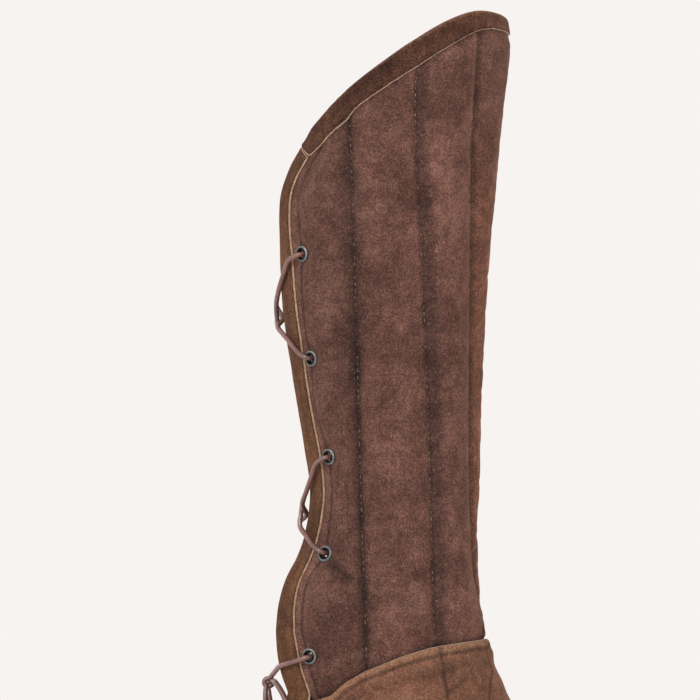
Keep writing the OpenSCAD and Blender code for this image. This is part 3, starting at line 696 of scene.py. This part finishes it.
def shell_marks(u, z, s, th, base, seed):
    """Values on the shell's points that tint its suede, most of them placing painted shade by the seams,
    under the top binding, above the foot panel and in the creases: distances in millimetres, and shares.
    """
    t = seams(False, z, s)
    from_a = off_line(s, th, t[..., 3])
    # The painted shade beside seam A reaches widest about 350 mm up
    reach = 3.5 + 5 * np.exp(-((z - 350) / 60) ** 2) + 2 * rough(base, 22, seed + 4)
    front = ease((1.05 - u) / 0.1)
    rear = ease((u - 2.9) / 0.2) * ease((4.4 - u) / 0.2)
    return {
        "from_a": from_a,
        "from_b": off_line(s, th, t[..., 2]),
        "from_c": off_line(s, th, t[..., 1]),
        "from_d": off_line(s, th, line_d(z, s)),
        "below_top": top_z(u) - top_depth(u) - z,
        # At the front, the painted shade above the foot panel is moved down under the panel's edge
        "above_foot": z - foot_z(u) + 6 * at_front(u),
        "painted_shade_a": 0.9 * np.exp(-(from_a / reach) ** 2) * (0.75 + 0.5 * rough(base, 16, seed + 5)),
        # Front channel: warmer tone and painted light, fading out towards the top
        "warm_and_painted_light": front * (0.1 + 0.9 * ease((470 - z) / 130)),
        "dim": rear + front * ease((z - 340) / 90),
        "crease": dent(base, SHELL_CREASES),
    }


def make_shell(side):
    seed = SHELL_SEED[side]
    u, z, s = shell_grid()
    th = theta(False, u, z, s)
    share = puff(u, z, s)
    base = place(s, z, th, HALF_SEAM + SUEDE_T)
    away = place(s, z, th, 1.0) - place(s, z, th, 0.0)
    lumps = 0.9 * rough(base, 38, seed) + 0.45 * rough(base, 13, seed + 1)
    lumps = lumps + 0.2 * rough(base * (1, 1, 1.6), 6, seed + 2) - dent(base, SHELL_CREASES)
    above = z - foot_z(u)
    flare = FLARE * at_front(u) * ease((above + 0.5) / 3) * np.exp(-(above / FLARE_FADE) ** 2)
    height = BEFORE_CLOTH * CROWN * share + lumps * np.minimum(1, share * LUMPS_GROW) + flare
    grown = base + away * height[..., None]
    n, m = share.shape
    held = (share < HELD_BELOW) | (np.arange(m) == 0) | (np.arange(m) == m - 1)
    swollen = cloth_swell(grown.reshape(-1, 3), cell_faces(n, m).tolist(), held.ravel()).reshape(n, m, 3)
    under = place(s, z, th, HALF_SEAM) + (swollen - base)
    keep = near_eyelet((base[1:, 1:] + base[:-1, :-1]) / 2) > HOLE_R
    attrs = shell_marks(u, z, s, th, base, seed)
    shell = thick_sheet(f"shell_{side}", swollen, under, keep, attrs=attrs, side=side, mats=[SUEDE], sub=1)
    across_fold(shell)
    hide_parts(f"outer_{side}", f"wing_outer_{side}")
    lining_out = place(s, z, th, -HALF_SEAM - INNER_CROWN * share)
    make_wadding(side, under, lining_out)
    lining_in = place(s, z, th, -HALF_SEAM - LINING_T - INNER_CROWN * share)
    lining = thick_sheet(f"shell_lining_{side}", lining_out, lining_in, keep, side=side, mats=[LINING])
    across_fold(lining)
    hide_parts(f"lining_{side}", f"wing_lining_{side}")


WADDING_ROWS = slice(8, SHELL_ROWS - 12)
WADDING_GAP = 0.12


def make_wadding(side, outer, inner):
    """Strips of wadding in the four channels of the shell, between the inside of the suede and the lining."""
    for name, a, b in zip(("shin", "front", "side", "rear"), FIELD_STARTS, FIELD_STARTS[1:]):
        last = b - 3 if name == "rear" else b
        cut = (slice(a + 1, last), WADDING_ROWS)
        margin = (outer[cut] - inner[cut]) * WADDING_GAP
        ob = thick_sheet(f"{name}_filling_{side}", outer[cut] - margin, inner[cut] + margin, side=side,
                         mats=[WADDING], sub=1)
        across_fold(ob)
        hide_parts(f"wing_wadding_{side}" if name == "rear" else f"wadding_{name}_{side}")


# Bindings
BIND_GAP = 0.25
BIND_OUT = HALF_SEAM + SUEDE_T + BIND_GAP
BIND_IN = -HALF_SEAM - LINING_T - BIND_GAP
MITRE_DROP, MITRE_FROM = 0.4, 368.0
FOLD_STEPS = 8


def fold_path(low, out_off, in_off, radius, raw):
    """Paths of a folded strip's outer and inner skins, as (distance from the fold, offset).

    low is the width of each flange, and raw the height of its cut edge."""
    mid = (out_off + in_off) / 2
    reach = (out_off - in_off) / 2
    turn = np.linspace(0, np.pi, FOLD_STEPS)
    skins = []
    for t, r, back in ((BIND_T, radius, 0.5), (0.0, max(radius - BIND_T, 0.3), 0.3)):
        cut = [(low + 0.4 * raw, out_off + 0.1 * t), (low - back * raw, out_off + 0.9 * t)]
        flange_out = [(x, out_off + t) for x in (low - 1.6, 0.8 * low, 0.55 * low, 0.35 * low)]
        arc = [(radius - r * math.sin(a), mid + (reach + t) * math.cos(a)) for a in turn]
        flange_in = [(x, in_off - t) for x in (0.35 * low, 0.65 * low, low)]
        skins.append(np.array(cut + flange_out + arc + flange_in))
    return skins


def strip_row(skins, low, height, u=None, **marks):
    """Cross section of a folded strip, with the marks that shade it.

    It stands at u, as (on the foot panel or not, place), or else lies across the back edge."""
    parts = []
    for away, off in (path.T for path in skins):
        z = height(away)
        s = section(z)
        th = from_edge(s, away) if u is None else theta(u[0], np.full(len(z), u[1]), z, s)
        parts.append(place(s, z, th, off))
    away = skins[0][:, 0]
    return (*parts, {"from_fold": away, "from_raw": low - away, **marks})


def waver(size, *spot):
    """Small change along a binding, smooth from spot to spot."""
    return size * noise.noise(Vector(spot))


def make_strip(name, side, rows, look, turned=False):
    """Closed folded strip from its cross sections, with its cut edges in the second material.

    It is turned where its sections follow one another the other way round."""
    outer, inner, marks = zip(*rows)
    ring = np.concatenate([outer, np.array(inner)[:, ::-1]], 1)
    n, w = ring.shape[:2]
    faces, mat = [], []
    for i in range(n - 1):
        for j in range(w):
            k = (j + 1) % w
            faces.append((i * w + j, (i + 1) * w + j, (i + 1) * w + k, i * w + k))
            mat.append(int(j in (0, w - 1)))
    for base, turn in ((0, 1), ((n - 1) * w, -1)):
        for j in range(w // 2 - 1):
            faces.append((base + j, base + j + 1, base + w - 2 - j, base + w - 1 - j)[::turn])
            mat.append(1)
    if turned:
        faces = [tuple(reversed(f)) for f in faces]
    attrs = {}
    for key in marks[0]:
        values = np.array([m[key] for m in marks])
        attrs[key] = np.concatenate([values, values[:, ::-1]], 1).ravel()
    return own(name, ring.reshape(-1, 3), faces, face_mat=mat, attrs=attrs, side=side,
               mats=[look, RAW_EDGE], sub=1)


def mitre(e):
    """Height of the joint between the top and the back binding, e millimetres from the back edge."""
    return top_z(5.0) - 0.5 - MITRE_DROP * e


def make_top_binding(side):
    sign = SIDES[side]
    rows = []
    for k, u in enumerate(np.concatenate([np.linspace(0, 4, 121), 4 + np.linspace(0, 1, 41)[1:-1]])):
        stretch = top_depth(u) / BIND_W
        top = float(top_z(u))
        low = BIND_W + waver(0.3, k * 0.35, sign * 3.0, 1.0)
        if u > 4:
            low = min(low, (top - mitre((5 - u) * (STRIP_W - EDGE_IN) + EDGE_IN)) / stretch)
        out = BIND_OUT + waver(0.25, k * 0.22, 7.0, sign * 2.0)
        raw = 0.6 + waver(0.5, k * 0.4, 1.0, sign * 6.0)
        skins = fold_path(low, out, BIND_IN, min(3.0, 0.6 * low), raw)
        tip = np.full(len(skins[0]), ease((1.2 - u) / 0.6))
        rows.append(strip_row(skins, low, lambda away: top - away * stretch, (False, u), tip=tip))
    ob = make_strip(f"top_binding_{side}", side, rows, TOP_BINDING)
    across_fold(ob)
    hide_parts(f"binding_top_{side}", f"wing_binding_top_{side}")


def back_out(z):
    """Offset of the back binding's outer flange, which steps down from the foot panel to the shell."""
    edge = foot_z(5.0)
    low = foot_off("out", np.full(np.shape(z), 4.999), np.minimum(z, edge))
    k = ease((z - edge - 4) / 7)
    return low * (1 - k) + (HALF_SEAM + SUEDE_T) * k + BIND_GAP


def make_back_binding(side):
    sign = SIDES[side]
    top = float(top_z(5.0))
    heights = np.concatenate([np.linspace(0, MITRE_FROM, 150), np.linspace(MITRE_FROM, top, 18)[1:]])
    rows = []
    for k, z0 in enumerate(heights):
        low = BIND_W + float(smooth(BIND_MORE, z0)) + waver(0.3, k * 0.35, sign * 5.0, 4.0)
        out = float(back_out(np.array(z0))) + waver(0.25, k * 0.22, 2.0, sign * 4.0)
        raw = 0.7 + waver(0.5, k * 0.4, 9.0, sign * 6.0)
        rise = np.maximum(0, z0 - MITRE_FROM) / (top - MITRE_FROM)
        skins = fold_path(low, out, BIND_IN, 3.0, raw)
        rows.append(strip_row(
            skins, low, lambda away: z0 + rise * (mitre(np.maximum(away, 0.4)) - 0.2 - top)))
    ob = make_strip(f"back_binding_{side}", side, rows, BACK_BINDING, turned=True)
    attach(ob, side + "_wing")
    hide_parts(f"binding_back_{side}")


def make_foot(side):
    for name, a, b, counts, flat in (
            ("toe", 0, 1, [16], (0.04, 0.085)), ("foot", 1, 5, [14, 22, 18, 10], (0.16, 0.07))):
        ob = foot_suede(name, side, a, b, counts)
        lining = foot_lining(name, side, a, b, counts)
        fill = foot_filling(name, side, a, min(b, 4))
        for piece, slot, old in (
                (ob, "foot_suede", "outer"), (lining, "lining", "lining"), (fill, "wadding", "wadding")):
            bend_foot(piece, name)
            nodes = [f"toe_{old}_{side}"] if name == "toe" else [f"foot_{old}_{side}", f"heel_{old}_{side}"]
            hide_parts(*nodes)
        make_hem(name, side, a, min(b, 4.5))


def foot_grid(a, b, counts):
    """Places, heights, sections and angles of the points of a part of the foot panel."""
    u = columns(list(range(a, b + 1)), counts)
    v = np.linspace(0, 1, 52) ** 0.9
    z = EDGE_IN + v * (foot_z(u) - EDGE_IN)
    s = section(z)
    return u, z, s, theta(True, u, z, s)


def foot_suede(name, side, a, b, counts):
    seed = FOOT_SEED[side]
    u, z, s, th = foot_grid(a, b, counts)
    base = place(s, z, th, 0)
    down = foot_z(u) - z
    soft = ease((z - HEM_W) / 8) * ease(down / 5)
    crease = dent(base, FOOT_CREASES)
    lumps = (0.8 * rough(base, 26, seed) + 0.4 * rough(base, 10, seed + 1)) * soft - crease * ease(down / 3)
    lumps += 0.25 * rough(base, 4, seed + 2) * np.exp(-(down / 5) ** 2)
    lumps += FOOT_SWELL * at_front(u) * np.exp(-((down - 8) / 5) ** 2)
    line = 0.55 * np.exp(-((down - STITCH_DOWN) / 1.3) ** 2)
    round_top = 0.8 * np.exp(-down / 0.9)
    outer = place(s, z, th, foot_off("out", u, z) + lumps - round_top - line)
    under = place(s, z, th, foot_off("under", u, z) + lumps - line)
    seam_b = theta(True, np.full_like(z, 2.0), z, s)
    attrs = {"below_edge": down + 2.6 * at_front(u), "crease": crease, "from_b": off_line(s, th, seam_b)}
    return thick_sheet(f"{name}_panel_{side}", outer, under, edge_mat=True, attrs=attrs, side=side,
                       mats=[FOOT_SUEDE, TAN_EDGE], sub=1)


def foot_lining(name, side, a, b, counts):
    u, z = foot_grid(a, b, counts)[:2]
    faces = (surface(True, u, z, foot_off(face, u, z)) for face in ("lining", "inside"))
    return thick_sheet(f"{name}_panel_lining_{side}", *faces, side=side, mats=[LINING])


def foot_filling(name, side, a, b):
    u = columns(list(range(a, b + 1)), [8] * (b - a))
    z = HEM_W + np.linspace(0, 1, 12) * (foot_z(u) - LAP - 14 - HEM_W)
    outer = surface(True, u, z, foot_off("pad_out", u, z) - 0.2)
    inner = surface(True, u, z, foot_off("pad_in", u, z) + 0.1)
    return thick_sheet(f"{name}_panel_filling_{side}", outer, inner, side=side, mats=[WADDING], sub=1)


def make_hem(name, side, a, b):
    rows = []
    for u in np.linspace(a, b, int((b - a) * 30)):
        low = HEM_W + waver(0.3, u * 9, SIDES[side] * 8.0, 2.0)
        out, inside = (float(foot_off(face, np.full(1, u), np.full(1, 6.0))[0]) for face in ("out", "inside"))
        skins = fold_path(low, out + BIND_GAP, inside - BIND_GAP, 2.6, 0.7)
        rows.append(strip_row(skins, low, lambda away: away, (True, u)))
    ob = make_strip(f"{name}_panel_hem_{side}", side, rows, BACK_BINDING, turned=True)
    bend_foot(ob, name)
    nodes = [f"toe_hem_{side}"] if name == "toe" else [f"hem_{side}", f"heel_hem_{side}"]
    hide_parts(*nodes)


# Stitches: rings along each one as (share of its length, share of its radius), and how much they vary
STITCH_RINGS = ((-0.5, 0.35), (-0.36, 0.9), (0, 1), (0.36, 0.9), (0.5, 0.35))
STITCH_SIDES = 6
STITCH_PITCH, STITCH_LENGTH, STITCH_R, STITCH_BOW = 4.3, 2.5, 0.32, 0.25
TURNED, LENGTHS, SUNK, THICKNESSES = 0.06, (0.55, 1.15), (-0.05, 0.5), (0.8, 1.1)
PALE, DARK = 0, 1


def ring_faces(base, rings, sides):
    """Faces of a tube of rings of points that follow one another from base, with closed ends."""
    faces = []
    for i in range(rings - 1):
        a, b = base + i * sides, base + (i + 1) * sides
        for k in range(sides):
            j = (k + 1) % sides
            faces.append((a + k, a + j, b + j, b + k))
    end = base + (rings - 1) * sides
    faces.append(tuple(base + k for k in reversed(range(sides))))
    faces.append(tuple(end + k for k in range(sides)))
    return faces


def joined(parts):
    """Points and faces of several parts in one list each."""
    verts, faces = [], []
    for v, f in parts:
        faces += [tuple(i + len(verts) for i in g) for g in f]
        verts += v
    return verts, faces


def along(table, run, x):
    return np.array([np.interp(x, run, table[:, c]) for c in range(3)])


def stitch_row(points, normals, seed):
    """Short lengths of thread along a line, each with a little of its own turn."""
    rng = np.random.default_rng(seed)
    run = np.concatenate([[0], np.cumsum(np.linalg.norm(np.diff(points, axis=0), axis=1))])
    verts, faces = [], []
    for t in np.arange(STITCH_PITCH, run[-1] - STITCH_PITCH, STITCH_PITCH):
        p, n = along(points, run, t), along(normals, run, t)
        d = along(points, run, t + 0.6) - along(points, run, t - 0.6)
        d /= np.linalg.norm(d)
        n = n - d * (n @ d)
        n /= np.linalg.norm(n)
        w = np.cross(d, n)
        d = d + w * rng.normal(0, TURNED)
        length = STITCH_LENGTH * rng.uniform(*LENGTHS)
        p = p - n * rng.uniform(*SUNK)
        radius = STITCH_R * rng.uniform(*THICKNESSES)
        faces += ring_faces(len(verts), len(STITCH_RINGS), STITCH_SIDES)
        for x, r in STITCH_RINGS:
            bow = STITCH_BOW * (1 - (2 * x) ** 2)
            for q in range(STITCH_SIDES):
                g = 2 * math.pi * q / STITCH_SIDES
                verts.append(p + d * x * length + (w * math.cos(g) + n * math.sin(g)) * r * radius + n * bow)
    return verts, faces


def sew(name, side, rows):
    """One object of stitches from several rows of (points, normals, pale or dark)."""
    sewn = [stitch_row(points, normals, seed=k + 11) for k, (points, normals, look) in enumerate(rows)]
    mat = [look for (_, faces), (_, _, look) in zip(sewn, rows) for _ in faces]
    return own(name, *joined(sewn), side=side, mats=[PALE_THREAD, DARK_THREAD], face_mat=mat)


def surface_line(foot, u, z, off):
    """Points and outward directions along a line of the shell or the foot panel."""
    u, z = np.broadcast_arrays(np.asarray(u, float), np.asarray(z, float))
    p = surface(foot, u, z, off)
    return p, surface(foot, u, z, off + 1) - p


LINE_D_FROM, LINE_D_TO, BESIDE_EYELET = 62, 400, 7.5


def make_stitches(side):
    rows = []
    above = HALF_SEAM + SUEDE_T + 0.15
    for u, look in ((1, DARK), (2, PALE), (3, PALE)):
        z = np.linspace(float(foot_z(u)) + 1, float(top_z(u) - top_depth(u)) - 1, 260)
        rows.append((*surface_line(False, u, z, above), look))
    for a, b in zip([LINE_D_FROM, *EYELET_Z], [*EYELET_Z, LINE_D_TO]):
        z = np.linspace(a + BESIDE_EYELET, b - BESIDE_EYELET, 70)
        s = section(z)
        p = place(s, z, line_d(z, s), above)
        rows.append((p, place(s, z, line_d(z, s), above + 1) - p, DARK))
    shell = sew(f"shell_stitches_{side}", side, rows)
    across_fold(shell)
    for name, a, b in (("toe", 0.03, 0.98), ("foot", 1.02, 4.35)):
        u = np.linspace(a, b, 160)
        z = foot_z(u) - STITCH_DOWN
        rows = [(*surface_line(True, u, z, foot_off("out", u, z) - 0.4), DARK)]
        if name == "foot":
            for k in (2, 3):
                z = np.linspace(HEM_W + 2, float(foot_z(k)) - 8, 60)
                u = np.full(60, k + 0.0)
                rows.append((*surface_line(True, u, z, foot_off("out", u, z) + 0.15), DARK))
        ob = sew(f"{name}_stitches_{side}", side, rows)
        bend_foot(ob, name)


# Lace: the route of the CAD source, from the middle of the top bar through the eyelets to the knot
LACE_HALF = [
    (-63.5, 11, 335.5), (-58, 23, 335.5), (-53, 29.5, 335.5), (-59.5, 36.5, 334.5), (-66, 31.3, 331),
    (-69.3, 24.7, 322.5), (-72.5, 18.2, 312), (-74, 9, 302), (-69.8, 0, 293.5), (-73, -9, 288),
    (-69.6, -17, 283), (-65, -24, 277.5), (-60, -30.5, 271.5), (-54, -36.5, 267.5), (-46, -29.7, 266.8),
    (-45.5, -30, 257), (-42.5, -30.5, 236), (-37.7, -29.6, 214), (-35.2, -28.2, 204.5),
    (-42.2, -36.4, 203.5), (-48, -31, 199.5), (-51.4, -24.6, 191), (-54.8, -18, 181),
    (-57.2, -9.2, 173), (-54.3, 0, 166), (-59, 9.6, 161), (-58.4, 19, 156.5), (-54.6, 25.7, 151),
    (-51, 32, 145.5), (-45.5, 36.5, 141.5), (-39.2, 28, 139.2), (-43.9, 29.4, 129), (-50.1, 29.4, 107),
    (-50, 29.4, 86), (-49.2, 28.7, 75.5), (-55, 37.5, 74), (-60.5, 34.5, 72), (-67, 28.5, 70),
    (-72, 21.5, 68), (-76, 12, 63), (-78.4, 7, 59.8),
]
LACE_HOLES = [2.5, 13.5, 18.5, 29.5, 34.5]
LACE_TOP = (-65, 0, 335.5)
CROSS_LIFT = 3.6
KNOT = (-79, 0, 57)
KNOT_R = 2.6
BOW_LOOP = [
    (-77.5, 5.3, 56.2), (-76, 12, 58.2), (-73, 22, 55), (-68.5, 30, 47), (-65, 35, 37), (-64.5, 36, 28),
    (-67, 32, 22), (-71.5, 25, 25), (-76, 15, 38), (-78.5, 7, 49), (-79, 5.3, 54),
]
BOW_TAIL = [(-80.5, 5.3, 56.5), (-81, 8, 48), (-81, 10, 34), (-80.5, 12, 20), (-80, 13, 7)]
LACE_R, LACE_SIDES, ROUND_END = 1.6, 12, (0.45, 0.8, 0.95)
WRAP_SLANT = 0.12


def curve_through(points, step=1.0):
    """Smooth curve through the points, as close points."""
    p = np.array(points, float)
    run = np.concatenate([[0], np.cumsum(np.sqrt(np.linalg.norm(np.diff(p, axis=0), axis=1)))])
    slope = np.gradient(p, run, axis=0)
    found = []
    for i in range(len(p) - 1):
        h = run[i + 1] - run[i]
        n = max(2, int(np.linalg.norm(p[i + 1] - p[i]) / step))
        k = np.arange(n)[:, None] / n
        found.append(hermite(p[i], p[i + 1], slope[i], slope[i + 1], h, k))
    return np.concatenate(found + [p[-1:]])


def tube(points, radius, round_ends=False):
    """Round cord along close points, a little uneven."""
    p = np.array(points)
    t = np.gradient(p, axis=0)
    t /= np.linalg.norm(t, axis=1, keepdims=True)
    v = np.cross(t[0], (0.31, 0.27, 0.91))
    verts = []
    n = len(p)
    for i in range(n):
        v = v - t[i] * (v @ t[i])
        v /= np.linalg.norm(v)
        w = np.cross(t[i], v)
        end = min(i, n - 1 - i)
        r = radius * (1 + 0.05 * noise.noise(Vector(p[i] / 6)))
        if round_ends and end < len(ROUND_END):
            r *= ROUND_END[end]
        for k in range(LACE_SIDES):
            a = 2 * math.pi * k / LACE_SIDES
            verts.append(p[i] + r * (v * math.cos(a) + w * math.sin(a)))
    return verts, ring_faces(0, n, LACE_SIDES)


def flip(points, lift):
    """Mirror image of a route, which passes its crossings lift millimetres further out."""
    return [(x - (lift if y == 0 else 0), -y, z) for x, y, z in points]


def lace_side():
    """Route of one end of the lace, moved so that it passes through the middles of the eyelets."""
    p = np.array(LACE_HALF, float)
    holes = np.array(LACE_HOLES)
    middle = (p[np.floor(holes).astype(int)] + p[np.ceil(holes).astype(int)]) / 2
    shift = eyelet_points(0)[::-1] - middle * np.stack([np.ones(5), np.sign(middle[:, 1]), np.ones(5)], 1)
    moved = np.stack([np.interp(np.arange(len(p)), holes, shift[:, c]) for c in range(3)], 1)
    moved *= np.minimum(1, np.abs(p[:, 1]) / 28)[:, None]
    moved[:, 1] *= np.sign(p[:, 1])
    return [tuple(q) for q in p + moved]


def lace_runs():
    """Parts of the lace on each side, cut where it crosses the middle."""
    half = lace_side()
    line = curve_through(list(reversed(half)) + [LACE_TOP] + flip(half, CROSS_LIFT), 1.2)
    runs = {"left": [], "right": []}
    start = 0
    sign = np.sign(line[:, 1])
    for i in range(1, len(line) + 1):
        if i == len(line) or (sign[i] != sign[start] and sign[i] != 0):
            part = line[max(0, start - 1):min(len(line), i + 1)]
            runs["left" if part[len(part) // 2, 1] > 0 else "right"].append(part)
            start = i
    return runs


def make_lace():
    for side, runs in lace_runs().items():
        ob = own(f"lace_{side}", *joined(tube(q, LACE_R) for q in runs), mats=[LACE])
        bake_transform(ob)
    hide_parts("lace")


def make_bow():
    """Knot of three wraps round a core, with two loops and two tails."""
    tubes = []
    for k in (-1, 0, 1):
        a = np.linspace(0, 2 * math.pi, 25)
        y = KNOT[1] + 2 * LACE_R * (k + WRAP_SLANT * np.sin(a + k))
        wrap = np.stack([KNOT[0] + KNOT_R * np.cos(a), y, KNOT[2] + KNOT_R * np.sin(a)], 1)
        tubes.append(tube(wrap, LACE_R + 0.1))
    core = np.stack([np.full(7, KNOT[0]), np.linspace(-5, 5, 7), np.full(7, KNOT[2])], 1)
    tubes.append(tube(core, KNOT_R - 0.6, round_ends=True))
    for path in (BOW_LOOP, BOW_TAIL, flip(BOW_LOOP, 0), flip(BOW_TAIL, 0)):
        tubes.append(tube(curve_through(path), LACE_R, round_ends=True))
    bow = own("lace_knot", *joined(tubes), mats=[LACE])
    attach(bow, "shin")
    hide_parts("lace_bow")


for name in SIDES:
    make_shell(name)
    make_top_binding(name)
    make_back_binding(name)
    make_foot(name)
    make_stitches(name)
    metal = old_metal(name)
    for part in ("eyelets", "washers"):
        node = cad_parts[f"{part}_{name}"]
        node.data.materials.clear()
        node.data.materials.append(metal)
make_lace()
make_bow()

# Studio: pale floor that fades into the same pale surroundings, one soft key lamp and two fills
BACKGROUND = linear(247, 243, 241)
scene = bpy.context.scene
scene.view_settings.view_transform = "Standard"


def camera_sees(n):
    """One for what the camera sees, and nought for what lights the object."""
    path = n.add("LightPath")
    seen = n.math("MAXIMUM", path.outputs["Is Camera Ray"], path.outputs["Is Glossy Ray"])
    return n.math("MAXIMUM", seen, path.outputs["Is Transmission Ray"])


scene.world = bpy.data.worlds.new("studio")
studio = Nodes(scene.world)
light = studio.add("Background", {"Color": (1, 0.985, 0.97, 1), "Strength": 0.62})
paper = studio.add("Background", {"Color": BACKGROUND, "Strength": 1.0})
both = studio.add("MixShader", {0: camera_sees(studio), 1: light.outputs[0], 2: paper.outputs[0]})
studio.add("OutputWorld", {0: both.outputs[0]})

FADE_FROM, FADE_TO = 0.25, 0.9
floor_look = new_look("floor")
position = floor_look.add("TexCoord").outputs["Object"]
length = floor_look.add("VectorMath", {0: position}, operation="LENGTH").outputs["Value"]
fade = floor_look.level(length, FADE_FROM, FADE_TO)
plain = floor_look.add("BsdfDiffuse", {"Color": linear(238, 234, 232)})
glow = floor_look.add("Emission", {"Color": BACKGROUND})
seen = floor_look.math("MULTIPLY", fade, camera_sees(floor_look))
floor_mix = floor_look.add("MixShader", {0: seen, 1: plain.outputs[0], 2: glow.outputs[0]})
floor_look.add("OutputMaterial", {0: floor_mix.outputs[0]})
bpy.ops.mesh.primitive_circle_add(vertices=96, radius=6, fill_type="NGON", location=(0, 0, -0.0005))
floor = bpy.context.object
floor.name = "floor"
floor.data.materials.append(floor_look.owner)


LAMPS_AIM = (0, 0, 0.27)


def lamp(name, power, size, location):
    data = bpy.data.lights.new(name, "AREA")
    data.energy, data.size = power, size
    ob = bpy.data.objects.new(name, data)
    ob.location = location
    ob.rotation_euler = (Vector(LAMPS_AIM) - Vector(location)).to_track_quat("-Z", "Y").to_euler()
    scene.collection.objects.link(ob)


lamp("key", power=38, size=1.4, location=(-1.5, -1.9, 1.7))
lamp("fill", power=12, size=1.8, location=(1.9, -1.2, 0.9))
lamp("back_fill", power=18, size=1.8, location=(0.3, 2.2, 1.5))

# Camera: level, from the greave's right side, at the photograph's scale of 0.65 mm a pixel
FRAME_W, DISTANCE = 0.455, 12.0
camera = bpy.data.objects.new("camera", bpy.data.cameras.new("camera"))
camera.data.lens = camera.data.sensor_width * DISTANCE / FRAME_W
camera.data.clip_end = 50
camera.location = (-0.04425, -DISTANCE, 0.273)
camera.rotation_euler = (math.pi / 2, 0, 0)
scene.collection.objects.link(camera)
scene.camera = camera
